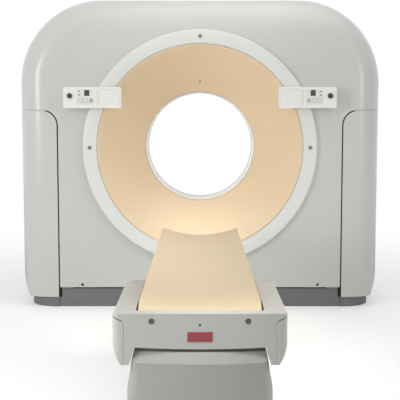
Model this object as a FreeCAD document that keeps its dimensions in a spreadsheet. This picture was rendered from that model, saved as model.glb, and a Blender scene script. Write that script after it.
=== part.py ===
import FreeCAD, Part
import math
import os
import Sketcher

# CT scanner: gantry with a turning ring of X-ray parts, and a patient table in front of it.
# Millimetres, +Z up. The origin is on the floor, straight under the middle of the bore.
# The table lies on the -Y side, the rear of the gantry faces +Y.

SIZES = dict(
    # gantry body
    gantry_half_width=1120, gantry_draw_in=50, gantry_height=1900, gantry_depth=920,
    gantry_corner=512, edge_round=180, cover_wall=8, side_bottom=61, taper_top=290,
    axis_height=990,
    # seams between the covers
    seam_inset=242, seam_top=1215, seam_corner=90, seam_gap=8, front_cover_bottom=123,
    # round opening
    bore_radius=350, tunnel_half=158, liner_wall=4,
    ring_inner=632, ring_outer=717, ring_height=24, ring_round=10,
    cover_hole=702, funnel_mouth=630, funnel_wall=6, funnel_lip=10, ring_fit=1.5,
    fit_gap=0.5, face_gap=1,
    # dark skirting at the floor
    plinth_height=115, plinth_inset=12, plinth_wall=8,
    seat_gap=0.3,
    # small things on the gantry front
    laser_radius=13, laser_depth=4, laser_orbit=675,
    beam_window_radius=6, beam_window_length=9, beam_window_orbit=413,
    lock_radius=8, lock_inset=147, lock_height=139,
    # operating panels
    panel_inner=476, panel_width=350, panel_low=1230, panel_height=128, panel_proud=64,
    panel_round=10, recess=2,
    plate_inner=486, plate_width=122, plate_low=1256, plate_height=86,
    keypad_inner=641, keypad_width=104, keypad_low=1252, keypad_height=92, keypad_rise=1,
    button_span=787, button_height=1305, button_radius=15, button_rise=12, button_depth=14,
    button_travel=5, button_gap=0.6,
    # steel base of the gantry
    beam_inset=420, beam_width=100, beam_low=20, beam_top=100,
    bracket_thick=30, bracket_low=152, bracket_top=200,
    cross_inset=260, cross_half_width=75, cross_centre=120,
    foot_inset_inner=480, foot_inset_outer=240, foot_half_length=60, foot_inset=100, foot_height=20,
    anchor_inset=300, anchor_radius=9,
    # standing frame and bearing
    stator_front=115, stator_thick=40, stator_inset=330,
    bearing_outer=620, bearing_inner=572, bearing_back=142, bearing_gap=0.4,
    air_gap=0.9, coil_outer=750, coil_front=60, coil_half_angle=30, magnet_outer=714,
    # turning ring
    drum_inner=372, disc_front=70, disc_back=95, slip_outer=540, slip_thick=8,
    tube_radius=85, tube_half_length=150, tube_orbit=590, tube_offset=-22,
    tube_tank_width=250, tube_tank_height=70,
    collimator_width=200, collimator_height=90, collimator_depth=120, collimator_orbit=405,
    detector_inner=440, detector_outer=520, detector_half_angle=32, detector_half_depth=55,
    generator_width=170, generator_height=420, generator_depth=150, generator_span=420,
    cooler_width=170, cooler_height=420, cooler_depth=150,
    weight_width=420, weight_height=120, weight_depth=120, weight_orbit=-668,
    brush_width=90, brush_height=130, brush_depth=44, brush_orbit=470, brush_arm=250,
    # fixed boxes beside the turning ring
    cabinet_clear=110, cabinet_width=170, cabinet_depth=520, cabinet_height=640,
    # patient table, measured along -Y from the middle of the bore
    foot_end=3070, housing_length=620, housing_half_width=290, housing_top=535,
    housing_bottom=363, housing_inner=216, housing_corner_near=26, housing_corner_far=70,
    housing_wall=5, housing_edge=8, housing_strip=50, strip_drop=20,
    leg_inner=235, leg_outer=253, groove_low=251, groove_bottom=492, groove_top=257,
    groove_middle=512, groove_rim=526, apron_bottom=424, apron_dip=6, apron_thick=8,
    apron_half_width=218.5, grip_gap=3, grip_low=262, grip_bulge=455, grip_curve=150,
    foot_screw_span=159, foot_screw_height=509, foot_screw_radius=10, foot_screw_sunk=3,
    pilot_radius=4, pilot_height=497, label_width=83, label_height=33, label_low=441,
    label_thick=1.5,
    socket_half_width=13, socket_half_length=7, socket_span=252, socket_depth=3,
    socket_back=60,
    # tabletop
    top_half_width=210, top_edge=548, top_dip=42, top_flat=80, top_under=482, top_lip=18,
    top_foot_end=2992, top_length=2122, top_corner=14,
    runner_half_width=60, runner_low=458, runner_foot_end=2960, runner_length=1960,
    # carriage
    carriage_half_width=118, carriage_low=424, carriage_top=452, carriage_foot_end=2940,
    carriage_length=1700, carriage_wall=6, shoe_width=44, shoe_length=180, shoe_span=86,
    guide_width=26, guide_span=44,
    # table frame
    frame_half_width=152, frame_low=400, frame_plate=12, frame_rail=22, frame_rail_top=448,
    frame_foot_end=2955, frame_length=1505, arm_low=430, arm_thick=34, arm_near=2900,
    arm_far=2540,
    # lifting columns
    column_near=2750, column_far=1800, outer_tube=75, tube_wall=7, tube_gap=0.8,
    inner_tube_top=330, middle_tube_low=40, middle_tube_top=355, outer_tube_low=60,
    rib_low=47, rib_thick=6, rib_half_length=90,
    # sleeves round the columns
    pedestal_half_width=234, pedestal_top_half_width=208, pedestal_top=406,
    pedestal_flank=290,
    pedestal_shoulder=371, pedestal_foot_end=3092, pedestal_length=1542, pedestal_corner=34,
    pedestal_nose=6, sleeve_inset=137, sleeve_step=14,
    pedestal_bevel=22, pedestal_low=12, sleeve_wall=5, sleeve_clear=6, sleeve_low=45,
    sleeve_top=388, cap_low=62,
    # table base
    base_thick=20,
    table_anchor_span=170, table_anchor_near=2895, table_anchor_far=1650,
)

os.makedirs("parts", exist_ok=True)
doc = FreeCAD.newDocument("ct_scanner")
sheet = doc.addObject("Spreadsheet::Sheet", "sizes")
for row, (alias, amount) in enumerate(SIZES.items(), start=1):
    sheet.set(f"A{row}", alias)
    sheet.set(f"B{row}", str(amount))
    sheet.setAlias(f"B{row}", alias)
doc.recompute()

PLANES = {"front": "XZ_Plane", "plan": "XY_Plane", "side": "YZ_Plane"}
UPRIGHT = FreeCAD.Rotation()
ALONG_Y = FreeCAD.Rotation(FreeCAD.Vector(1, 0, 0), -90)
ALONG_X = FreeCAD.Rotation(FreeCAD.Vector(0, 1, 0), 90)
MARGIN = 60  # how far a cutting shape runs past what it cuts


class Size:
    """A driving size or a sum of them: the sheet expression and its value."""

    def __init__(self, text, value):
        self.text, self.value = text, float(value)

    def combine(self, sign, other, value):
        """The expression joined to another by a sign."""
        return Size(f"({self.text} {sign} {as_size(other).text})", value)

    def __add__(self, other):
        return self.combine("+", other, self.value + as_size(other).value)

    def __sub__(self, other):
        return self.combine("-", other, self.value - as_size(other).value)

    def __mul__(self, other):
        return self.combine("*", other, self.value * as_size(other).value)

    def __truediv__(self, other):
        return self.combine("/", other, self.value / as_size(other).value)

    def __radd__(self, other):
        return as_size(other) + self

    def __neg__(self):
        return Size(f"(0 - {self.text})", -self.value)


def as_size(item):
    """A plain number as a size."""
    return item if isinstance(item, Size) else Size(str(item), item)


class Sizes:
    """All driving sizes by name."""


s = Sizes()
for alias, amount in SIZES.items():
    setattr(s, alias, Size(f"sizes.{alias}", amount))

FRONT = -s.gantry_depth / 2
REAR = s.gantry_depth / 2
s.pedestal_end = -s.pedestal_foot_end + s.pedestal_length
s.gantry_lower_half_width = s.gantry_half_width - s.gantry_draw_in
s.seam_half_span = s.gantry_half_width - s.seam_inset
s.lock_span = s.seam_half_span - s.lock_inset
s.beam_span = s.gantry_half_width - s.beam_inset
s.foot_inner = s.gantry_half_width - s.foot_inset_inner
s.foot_outer = s.gantry_half_width - s.foot_inset_outer
s.anchor_span = s.gantry_half_width - s.anchor_inset
s.cross_half_length = s.gantry_half_width - s.cross_inset
s.stator_radius = s.gantry_half_width - s.stator_inset
s.middle_tube = s.outer_tube - s.tube_wall - s.tube_gap
s.inner_tube = s.middle_tube - s.tube_wall - s.tube_gap


def bind(item, prop, size):
    """Tie one property to the sheet."""
    item.setExpression(prop, as_size(size).text)


def place(item, x=0, y=0, z=0, turn=UPRIGHT):
    """Put an item at a bound position."""
    spot = [as_size(x), as_size(y), as_size(z)]
    item.Placement = FreeCAD.Placement(FreeCAD.Vector(*[v.value for v in spot]), turn)
    for axis, size in zip("xyz", spot):
        bind(item, f"Placement.Base.{axis}", size)
    return item


def new_body(name):
    body = doc.addObject("PartDesign::Body", name)
    body.Label = name
    return body


def new_sketch(body, plane):
    """An empty sketch flat on one of the body's own planes."""
    sketch = body.newObject("Sketcher::SketchObject", f"{body.Name}_profile")
    role = PLANES[plane]
    flat = next(f for f in body.Origin.OriginFeatures if f.Role == role)
    sketch.AttachmentSupport = [(flat, "")]
    sketch.MapMode = "FlatFace"
    return sketch


def fix_point(sketch, shape_index, end, x, y):
    """Hold one sketch point at bound coordinates."""
    for kind, size in (("DistanceX", x), ("DistanceY", y)):
        rule = Sketcher.Constraint(kind, -1, 1, shape_index, end, size.value)
        index = sketch.addConstraint(rule)
        sketch.setExpression(f"Constraints[{index}]", size.text)


def arc_between(start, end, radius):
    """A short arc; a positive radius turns left on the way, a negative one right."""
    half = (end - start) * 0.5
    reach = math.sqrt(radius * radius - half.Length * half.Length)
    side = FreeCAD.Vector(-half.y, half.x, 0).normalize()
    centre = start + half + side * math.copysign(reach, radius)
    first, last = (start, end) if radius > 0 else (end, start)
    angles = [math.atan2(p.y - centre.y, p.x - centre.x) for p in (first, last)]
    circle = Part.Circle(centre, FreeCAD.Vector(0, 0, 1), abs(radius))
    return Part.ArcOfCircle(circle, *angles)


def add_loop(sketch, points):
    """A closed outline. A point is (x, y), or (x, y, radius) when an arc leads to it."""
    corners = [tuple(as_size(v) for v in point) for point in points]
    first = sketch.GeometryCount
    ends = []
    for here, there in zip(corners, corners[1:] + corners[:1]):
        a = FreeCAD.Vector(here[0].value, here[1].value, 0)
        b = FreeCAD.Vector(there[0].value, there[1].value, 0)
        if len(there) == 3:
            index = sketch.addGeometry(arc_between(a, b, there[2].value), False)
            ends.append((1, 2) if there[2].value > 0 else (2, 1))
            size = there[2] if there[2].value > 0 else -there[2]
            rule = sketch.addConstraint(Sketcher.Constraint("Radius", index, abs(size.value)))
            sketch.setExpression(f"Constraints[{rule}]", size.text)
        else:
            sketch.addGeometry(Part.LineSegment(a, b), False)
            ends.append((1, 2))
    count = len(corners)
    for i, corner in enumerate(corners):
        fix_point(sketch, first + i, ends[i][0], corner[0], corner[1])
        before = (i - 1) % count
        joint = Sketcher.Constraint("Coincident", first + before, ends[before][1],
                                    first + i, ends[i][0])
        sketch.addConstraint(joint)


def add_circle(sketch, x, y, radius):
    """A full circle with a bound centre and radius."""
    x, y, radius = as_size(x), as_size(y), as_size(radius)
    centre = FreeCAD.Vector(x.value, y.value, 0)
    circle = Part.Circle(centre, FreeCAD.Vector(0, 0, 1), radius.value)
    index = sketch.addGeometry(circle, False)
    fix_point(sketch, index, 3, x, y)
    rule = sketch.addConstraint(Sketcher.Constraint("Radius", index, radius.value))
    sketch.setExpression(f"Constraints[{rule}]", radius.text)


def prism(name, plane, loops, length, x=0, y=0, z=0, holes=()):
    """A padded profile. Front profiles grow towards -Y, plan ones up, side ones to +X."""
    body = new_body(name)
    sketch = new_sketch(body, plane)
    for loop in loops:
        add_loop(sketch, loop)
    for hole in holes:
        add_circle(sketch, *hole)
    pad = body.newObject("PartDesign::Pad", f"{name}_pad")
    pad.Profile = sketch
    bind(pad, "Length", length)
    sketch.Visibility = False
    place(body, x, y, z)
    return body


def turned(name, points, y=0):
    """A ring turned about the bore axis; the profile is given as (y, radius)."""
    body = new_body(name)
    sketch = new_sketch(body, "side")
    add_loop(sketch, points)
    ring = body.newObject("PartDesign::Revolution", f"{name}_turn")
    ring.Profile = sketch
    ring.ReferenceAxis = (sketch, ["H_Axis"])
    ring.Angle = 360
    sketch.Visibility = False
    place(body, 0, y, s.axis_height)
    return body


def work_edges(body, kind, prop, size, wanted):
    """Round or bevel those edges of a padded body that the test picks."""
    doc.recompute()
    base = body.Tip
    names = [f"Edge{i}" for i, edge in enumerate(base.Shape.Edges, start=1) if wanted(edge)]
    feature = body.newObject(f"PartDesign::{kind}", f"{body.Name}_{kind.lower()}")
    feature.Base = (base, names)
    bind(feature, prop, size)
    return body


def soften(body, radius, wanted):
    return work_edges(body, "Fillet", "Radius", radius, wanted)


def chamfer(body, size, wanted):
    return work_edges(body, "Chamfer", "Size", size, wanted)


def box(name, x, y, z, length, width, height):
    """A block given by its lowest corner and its three sizes."""
    item = doc.addObject("Part::Box", name)
    bind(item, "Length", length)
    bind(item, "Width", width)
    bind(item, "Height", height)
    return place(item, x, y, z)


def centred_box(name, x, y, z, length, width, height):
    """A block given by the middle of its underside."""
    return box(name, as_size(x) - as_size(length) / 2, as_size(y) - as_size(width) / 2, z,
               length, width, height)


def rod(name, radius, length, x, y, z, turn=UPRIGHT):
    item = doc.addObject("Part::Cylinder", name)
    bind(item, "Radius", radius)
    bind(item, "Height", length)
    return place(item, x, y, z, turn)


def fuse(name, *items):
    joined = doc.addObject("Part::MultiFuse", name)
    joined.Shapes = list(items)
    joined.Refine = True
    return joined


def common(name, *items):
    shared = doc.addObject("Part::MultiCommon", name)
    shared.Shapes = list(items)
    shared.Refine = True
    return shared


def cut(name, base, *tools):
    """The base with every tool taken away."""
    rest = doc.addObject("Part::Cut", name)
    rest.Base = base
    rest.Tool = tools[0] if len(tools) == 1 else fuse(f"{name}_tools", *tools)
    rest.Refine = True
    return rest


def mirror(name, source, normal=(1, 0, 0)):
    """The same piece on the other side."""
    twin = doc.addObject("Part::Mirroring", name)
    twin.Source = source
    twin.Normal = FreeCAD.Vector(*normal)
    twin.Base = FreeCAD.Vector(0, 0, 0)
    return twin


nodes = {}


def keep(item, name=None):
    """Mark a finished piece for export under its own name."""
    item.Label = name or item.Name
    nodes[item.Label] = item
    return item


def keep_pair(item, left, right):
    """A piece on the right hand side (+X) and its mirror on the left."""
    keep(item, right)
    keep(mirror(left, item))


# ---------------------------------------------------------------- gantry covers

def gantry_outline(inset):
    """Front view of the body: an upright block with rounded shoulders."""
    half, top = s.gantry_half_width - inset, s.gantry_height - inset
    corner = s.gantry_corner - inset
    return [(half, s.side_bottom), (half, top - corner), (half - corner, top, corner),
            (-(half - corner), top), (-half, top - corner, corner), (-half, s.side_bottom)]


def flank_trim(inset):
    """Front view of what stays: the sides are drawn in towards the floor."""
    half, low = s.gantry_half_width - inset, s.gantry_lower_half_width - inset
    rise = s.taper_top - s.side_bottom
    flank = (rise * rise + s.gantry_draw_in * s.gantry_draw_in) / (s.gantry_draw_in * 2)
    top = s.gantry_height + MARGIN
    return [(low, s.side_bottom), (half, s.taper_top, flank), (half + MARGIN, s.taper_top),
            (half + MARGIN, top), (-(half + MARGIN), top), (-(half + MARGIN), s.taper_top),
            (-half, s.taper_top), (-low, s.side_bottom, flank)]


def gantry_form(name, inset, edge):
    """The whole rounded body, drawn in by an inset on every side but the open floor side."""
    half_depth = s.gantry_depth / 2 - inset
    body = prism(name, "front", [gantry_outline(inset)], half_depth * 2)
    edge(body, s.edge_round - inset, lambda e: e.BoundBox.YLength < 1
         and e.BoundBox.ZMax > s.side_bottom.value + 1)
    place(body, 0, half_depth, 0)
    trim = prism(f"{name}_flanks", "front", [flank_trim(inset)], s.gantry_depth + MARGIN,
                 y=REAR + MARGIN / 2)
    return common(f"{name}_trimmed", body, trim)


def side_zone(name, gap):
    """The space of the right side cover, grown by a gap towards the other covers."""
    inner = s.seam_half_span - gap
    top = s.seam_top + gap
    corner = s.seam_corner + gap
    outer = s.gantry_half_width + MARGIN
    points = [(inner, 0), (outer, 0), (outer, top), (inner + corner, top),
              (inner, top - corner, corner)]
    return prism(name, "front", [points], s.gantry_depth + MARGIN * 2,
                 y=REAR + MARGIN)


def gantry_covers():
    outer = gantry_form("body_outside", as_size(0), soften)
    inner = gantry_form("body_inside", s.cover_wall, chamfer)
    shell = cut("body_shell", outer, inner)

    right_zone = side_zone("side_zone", as_size(0))
    right = common("right_side_cover", shell, right_zone)
    keep_pair(right, "left_side_cover", "right_side_cover")

    wide_zone = side_zone("wide_side_zone", s.seam_gap)
    far_zone = mirror("far_side_zone", wide_zone)
    span = s.gantry_half_width + MARGIN
    reach = s.gantry_depth / 2 + MARGIN
    above = s.gantry_height - s.front_cover_bottom + MARGIN
    front_zone = box("front_zone", -span, -reach, s.front_cover_bottom,
                     span * 2, reach - s.seam_gap / 2, above)
    rear_zone = box("rear_zone", -span, s.seam_gap / 2, s.front_cover_bottom,
                    span * 2, reach - s.seam_gap / 2, above)
    opening = rod("cover_opening", s.cover_hole, reach * 2, 0, -reach, s.axis_height, ALONG_Y)
    lock = rod("lock_hole", s.lock_radius + s.fit_gap, s.cover_wall * 4,
               s.lock_span, FRONT - s.cover_wall, s.lock_height, ALONG_Y)
    locks = fuse("lock_holes", lock, mirror("lock_hole_left", lock))
    front = common("front_cover_blank", shell, front_zone)
    keep(cut("front_cover", front, wide_zone, far_zone, opening, locks))
    rear = common("rear_cover_blank", shell, rear_zone)
    keep(cut("rear_cover", rear, wide_zone, far_zone, opening))

    pin = rod("cover_lock_right", s.lock_radius, s.cover_wall + s.recess,
              s.lock_span, FRONT + s.recess, s.lock_height, ALONG_Y)
    keep(fuse("cover_locks", pin, mirror("cover_lock_left", pin)))


def gantry_plinths():
    """Dark skirting: plain boards front and rear, wrapped channels at the sides."""
    half = s.seam_half_span
    inset = FRONT + s.plinth_inset
    board = box("front_plinth", -half, inset, 0, half * 2, s.plinth_wall, s.plinth_height)
    keep(board)
    keep(mirror("rear_plinth", board, (0, 1, 0)))

    def footprint(step):
        inset = s.cover_wall / 2 + step
        outer = s.gantry_lower_half_width - inset
        reach = s.gantry_depth / 2 - inset
        corner = s.edge_round - inset
        inner = s.seam_half_span - step * 2
        return [(inner, -reach), (outer - corner, -reach), (outer, -(reach - corner), corner),
                (outer, reach - corner), (outer - corner, reach, corner), (inner, reach)]
    solid = prism("plinth_outside", "plan", [footprint(as_size(0))],
                  s.side_bottom - s.seat_gap)
    hollow = prism("plinth_inside", "plan", [footprint(s.plinth_wall)],
                   s.side_bottom + MARGIN, z=-(s.plinth_wall * 2))
    keep_pair(cut("right_plinth", solid, hollow), "left_plinth", "right_plinth")


# ---------------------------------------------------------------- round opening

def bore_parts():
    ri, ro = s.ring_inner, s.ring_outer
    face, top = FRONT, FRONT - s.ring_height
    ring = turned("front_ring_blank", [
        (face, ri), (face, ro), (top + s.ring_round, ro), (top, ro - s.ring_round),
        (top, ri)])

    pocket_y = top - s.recess
    spots = {"top": (as_size(0), s.axis_height + s.laser_orbit),
             "right": (s.laser_orbit, s.axis_height),
             "left": (-s.laser_orbit, s.axis_height)}
    pockets = [rod(f"{side}_laser_pocket", s.laser_radius, s.laser_depth + s.recess,
                   x, pocket_y, z, ALONG_Y) for side, (x, z) in spots.items()]
    keep(cut("front_ring", ring, *pockets))
    keep(mirror("rear_ring", ring, (0, 1, 0)))
    panes = [rod(f"{side}_laser_pane", s.laser_radius - s.fit_gap, s.laser_depth - s.face_gap,
                 x, top + s.face_gap, z, ALONG_Y) for side, (x, z) in spots.items()]
    keep(fuse("laser_windows", *panes))

    mouth, wall, narrow = s.funnel_mouth, s.funnel_wall, s.bore_radius
    end = -s.tunnel_half
    funnel = turned("front_funnel_blank", [
        (end, narrow), (end, narrow + wall), (face, mouth + s.ring_fit),
        (face - s.funnel_lip, mouth + s.ring_fit), (face - s.funnel_lip, mouth - wall)])
    keep(mirror("rear_funnel", funnel, (0, 1, 0)))

    flare = mouth - wall - narrow
    depth = s.gantry_depth / 2 + s.funnel_lip - s.tunnel_half
    slant = math.atan2(flare.value, depth.value)
    lean = FreeCAD.Rotation(FreeCAD.Vector(1, 0, 0), -math.degrees(slant))
    eye_y = end - (s.beam_window_orbit - narrow) * depth / flare
    eye_z = s.axis_height + s.beam_window_orbit
    sunk = s.beam_window_length
    eye_hole = rod("beam_window_hole", s.beam_window_radius + s.fit_gap, sunk * 3,
                   0, eye_y - sunk * math.sin(slant), eye_z - sunk * math.cos(slant), lean)
    keep(cut("front_funnel", funnel, eye_hole))
    keep(rod("beam_window", s.beam_window_radius, sunk, 0, eye_y, eye_z, lean))

    keep(ring_piece("bore_liner", narrow, narrow + s.liner_wall,
                    end + s.fit_gap, -end - s.fit_gap))


# ---------------------------------------------------------------- operating panels

def rounded_rectangle(x0, x1, z0, z1, r):
    """Outline with four equal corners, starting with the arc at the lowest corner."""
    return [(x0 + r, z0, r), (x1 - r, z0), (x1, z0 + r, r), (x1, z1 - r), (x1 - r, z1, r),
            (x0 + r, z1), (x0, z1 - r, r), (x0, z0 + r)]


def panels():
    x0, x1 = s.panel_inner, s.panel_inner + s.panel_width
    z0, z1 = s.panel_low, s.panel_low + s.panel_height
    front = FRONT - s.panel_proud
    depth = s.panel_proud - s.fit_gap
    blank = prism("panel_blank", "front", [rounded_rectangle(x0, x1, z0, z1, s.panel_round)],
                  depth, y=FRONT - s.fit_gap)
    clear = rod("panel_ring_clearance", s.ring_outer + s.face_gap,
                s.ring_height + s.fit_gap + MARGIN, 0, FRONT - s.ring_height - s.fit_gap,
                s.axis_height, ALONG_Y)
    sunk = s.recess + MARGIN
    plate_cut = box("plate_recess", s.plate_inner - s.fit_gap, front - MARGIN,
                    s.plate_low - s.fit_gap, s.plate_width + s.fit_gap * 2, sunk + s.recess,
                    s.plate_height + s.fit_gap * 2)
    well = rod("button_well", s.button_radius + s.button_gap, MARGIN + s.button_depth
               + s.button_travel + s.button_gap, s.button_span, front - MARGIN,
               s.button_height, ALONG_Y)
    keep_pair(cut("right_panel_housing", blank, clear, plate_cut, well),
              "left_panel_housing", "right_panel_housing")
    plate = box("panel_plate", s.plate_inner, front + s.recess, s.plate_low,
                s.plate_width, s.recess, s.plate_height)
    keep_pair(plate, "left_panel_plate", "right_panel_plate")
    keypad = box("panel_keypad", s.keypad_inner, front - s.keypad_rise, s.keypad_low,
                 s.keypad_width, s.keypad_rise, s.keypad_height)
    keep_pair(keypad, "left_panel_keypad", "right_panel_keypad")

    keep_pair(rod("stop_button", s.button_radius, s.button_rise + s.button_depth, s.button_span,
                  front - s.button_rise, s.button_height, ALONG_Y),
              "left_stop_button", "right_stop_button")


# ---------------------------------------------------------------- gantry insides

def gantry_base():
    height = s.beam_top - s.beam_low
    x = s.beam_span - s.beam_width / 2
    reach = s.gantry_depth / 2 - s.plinth_inset - s.plinth_wall - s.seat_gap
    beam = box("base_beam", x, -reach, s.beam_low, s.beam_width, reach * 2, height)
    post = box("cover_post", x, -reach, s.beam_top, s.beam_width, s.bracket_thick,
               s.bracket_top - s.beam_top)
    tab = box("cover_tab", x, FRONT + s.cover_wall + s.seat_gap, s.bracket_low, s.beam_width,
              s.plinth_inset + s.bracket_thick / 2, s.bracket_top - s.bracket_low)
    bracket = fuse("cover_bracket", post, tab)
    rear_bracket = mirror("rear_cover_bracket", bracket, (0, 1, 0))
    feet = []
    for end, centre in (("front", FRONT + s.foot_inset), ("rear", REAR - s.foot_inset)):
        pad = box(f"{end}_foot", s.foot_inner, centre - s.foot_half_length, 0,
                  s.foot_outer - s.foot_inner, s.foot_half_length * 2, s.foot_height)
        bolt = rod(f"{end}_anchor_hole", s.anchor_radius, s.foot_height * 3,
                   s.anchor_span, centre, -s.foot_height)
        feet.append(cut(f"{end}_drilled_foot", pad, bolt))
    side = fuse("base_side", beam, bracket, rear_bracket, *feet)
    cross = box("base_cross", -s.cross_half_length, s.cross_centre - s.cross_half_width,
                s.beam_low, s.cross_half_length * 2, s.cross_half_width * 2, height)
    keep(fuse("gantry_base", side, mirror("base_side_left", side), cross))


def standing_frame():
    """Upright plate with the big hole that carries the bearing."""
    r, low = s.stator_radius, s.beam_top
    axis = s.axis_height
    loop = [(-r, low), (r, low), (r, axis), (0, axis + r, r), (-r, axis, r)]
    keep(prism("standing_frame", "front", [loop], s.stator_thick,
               y=s.stator_front + s.stator_thick, holes=[(0, axis, s.bearing_outer + s.seat_gap)]))
    keep(ring_piece("main_bearing", s.bearing_inner, s.bearing_outer,
                    s.disc_back + s.bearing_gap, s.bearing_back))
    coil = ring_piece("coil_ring", s.magnet_outer + s.air_gap, s.coil_outer, s.coil_front,
                      s.stator_front - s.seat_gap)
    keep(common("motor_coil", coil, lower_wedge("coil", s.coil_half_angle, s.coil_outer)))


def lower_wedge(name, half_angle, radius):
    """A wedge below the bore axis, for cutting an arc out of a ring."""
    reach = radius * 2
    side = Size(f"tan({half_angle.text})", math.tan(math.radians(half_angle.value))) * reach
    return prism(f"{name}_wedge", "front", [[(0, 0), (-side, -reach), (side, -reach)]],
                 s.gantry_depth, y=REAR, z=s.axis_height)


def ring_piece(name, inner, outer, front, back):
    """A plain ring about the bore axis between two planes."""
    return turned(name, [(front, inner), (back, inner), (back, outer), (front, outer)])


def turning_parts():
    """Drum with the X-ray tube on top and the detector below, opposite each other."""
    keep(turned("rotor_drum", [
        (s.disc_front, s.drum_inner), (s.disc_back + s.slip_thick, s.drum_inner),
        (s.disc_back + s.slip_thick, s.slip_outer), (s.disc_back, s.slip_outer),
        (s.disc_back, s.magnet_outer), (s.disc_front, s.magnet_outer)]))

    axis, face = s.axis_height, s.disc_front - s.fit_gap
    half = s.tube_half_length
    case = rod("tube_case", s.tube_radius, half * 2, -half, s.tube_offset,
               axis + s.tube_orbit, ALONG_X)
    tank = box("tube_tank", -(s.tube_tank_width / 2), s.tube_offset,
               axis + s.tube_orbit - s.tube_tank_height / 2, s.tube_tank_width,
               face - s.tube_offset, s.tube_tank_height)
    keep(fuse("xray_tube", case, tank))
    keep(centred_box("collimator", 0, face - s.collimator_depth / 2,
                     axis + s.collimator_orbit, s.collimator_width, s.collimator_depth,
                     s.collimator_height))

    wedge = lower_wedge("detector", s.detector_half_angle, s.detector_outer)
    blocks = ring_piece("detector_ring", s.detector_inner, s.detector_outer,
                        -s.detector_half_depth, face)
    keep(common("detector_arc", blocks, wedge))

    keep(box("generator", s.generator_span, face - s.generator_depth,
             axis - s.generator_height / 2, s.generator_width, s.generator_depth,
             s.generator_height))
    keep(box("tube_cooler", -s.generator_span - s.cooler_width, face - s.cooler_depth,
             axis - s.cooler_height / 2, s.cooler_width, s.cooler_depth, s.cooler_height))
    keep(centred_box("balance_weight", 0, face - s.weight_depth / 2, axis + s.weight_orbit,
                     s.weight_width, s.weight_depth, s.weight_height))


def gantry_units():
    """Brush block on its arm, and the two cabinets beside the turning ring."""
    contact = s.disc_back + s.slip_thick + s.fit_gap
    low = s.axis_height - s.brush_orbit - s.brush_height / 2
    block = centred_box("brush_body", 0, contact + s.brush_depth / 2, low, s.brush_width,
                        s.brush_depth, s.brush_height)
    back = s.stator_front + s.stator_thick
    arm = box("brush_arm_plate", -(s.brush_width / 2), back, low - s.brush_arm,
              s.brush_width, s.plinth_wall, s.brush_arm + s.brush_height)
    neck = box("brush_neck", -(s.brush_width / 2), contact, low,
               s.brush_width, back - contact + s.plinth_wall, s.plinth_inset)
    keep(fuse("brush_block", block, arm, neck))
    inner = s.gantry_half_width - s.cabinet_clear - s.cabinet_width
    cabinet = box("cabinet", inner, -(s.cabinet_depth / 2), s.beam_top,
                  s.cabinet_width, s.cabinet_depth, s.cabinet_height)
    keep(cabinet, "power_cabinet")
    keep(mirror("control_cabinet", cabinet))


# ---------------------------------------------------------------- patient table

def housing_section():
    """Half section of the foot housing: top strip, groove for the grip, leg."""
    half, inner, soft = s.housing_half_width, s.housing_inner, s.housing_edge
    return [(inner, s.apron_bottom), (s.leg_inner, s.housing_bottom),
            (s.leg_outer, s.housing_bottom), (s.groove_low, s.groove_bottom),
            (s.groove_top, s.groove_middle), (half, s.groove_rim),
            (half, s.housing_top - soft), (half - soft, s.housing_top, soft),
            (inner, s.housing_top)]


def housing_hollow():
    """The space inside that section, one wall further in."""
    wall = s.housing_wall
    inner, low, top = s.housing_inner + wall, s.housing_bottom + wall, s.housing_top - wall
    return [(inner, s.apron_bottom + wall), (s.leg_inner + wall, low), (s.leg_outer - wall, low),
            (s.groove_low - wall, s.groove_bottom), (s.groove_top - wall, s.groove_middle),
            (s.groove_top - wall, top), (inner, top)]


def housing_plan(step):
    """Plan of the housing: small corners at the foot end, wide ones towards the gantry."""
    half = s.housing_half_width - step
    near, far = -s.foot_end + step, -s.foot_end + s.housing_length - step
    small, wide = s.housing_corner_near - step, s.housing_corner_far - step
    return [(-half + small, near, small), (half - small, near), (half, near + small, small),
            (half, far - wide), (half - wide, far, wide), (-half + wide, far),
            (-half, far - wide, wide), (-half, near + small)]


def housing_form(name, section, step):
    """One side box of the housing, trimmed to the plan."""
    side = prism(f"{name}_section", "front", [section], s.housing_length + MARGIN,
                 y=-s.foot_end + s.housing_length + MARGIN / 2)
    plan = prism(f"{name}_plan", "plan", [housing_plan(step)], s.housing_top)
    return common(name, side, plan)


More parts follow.
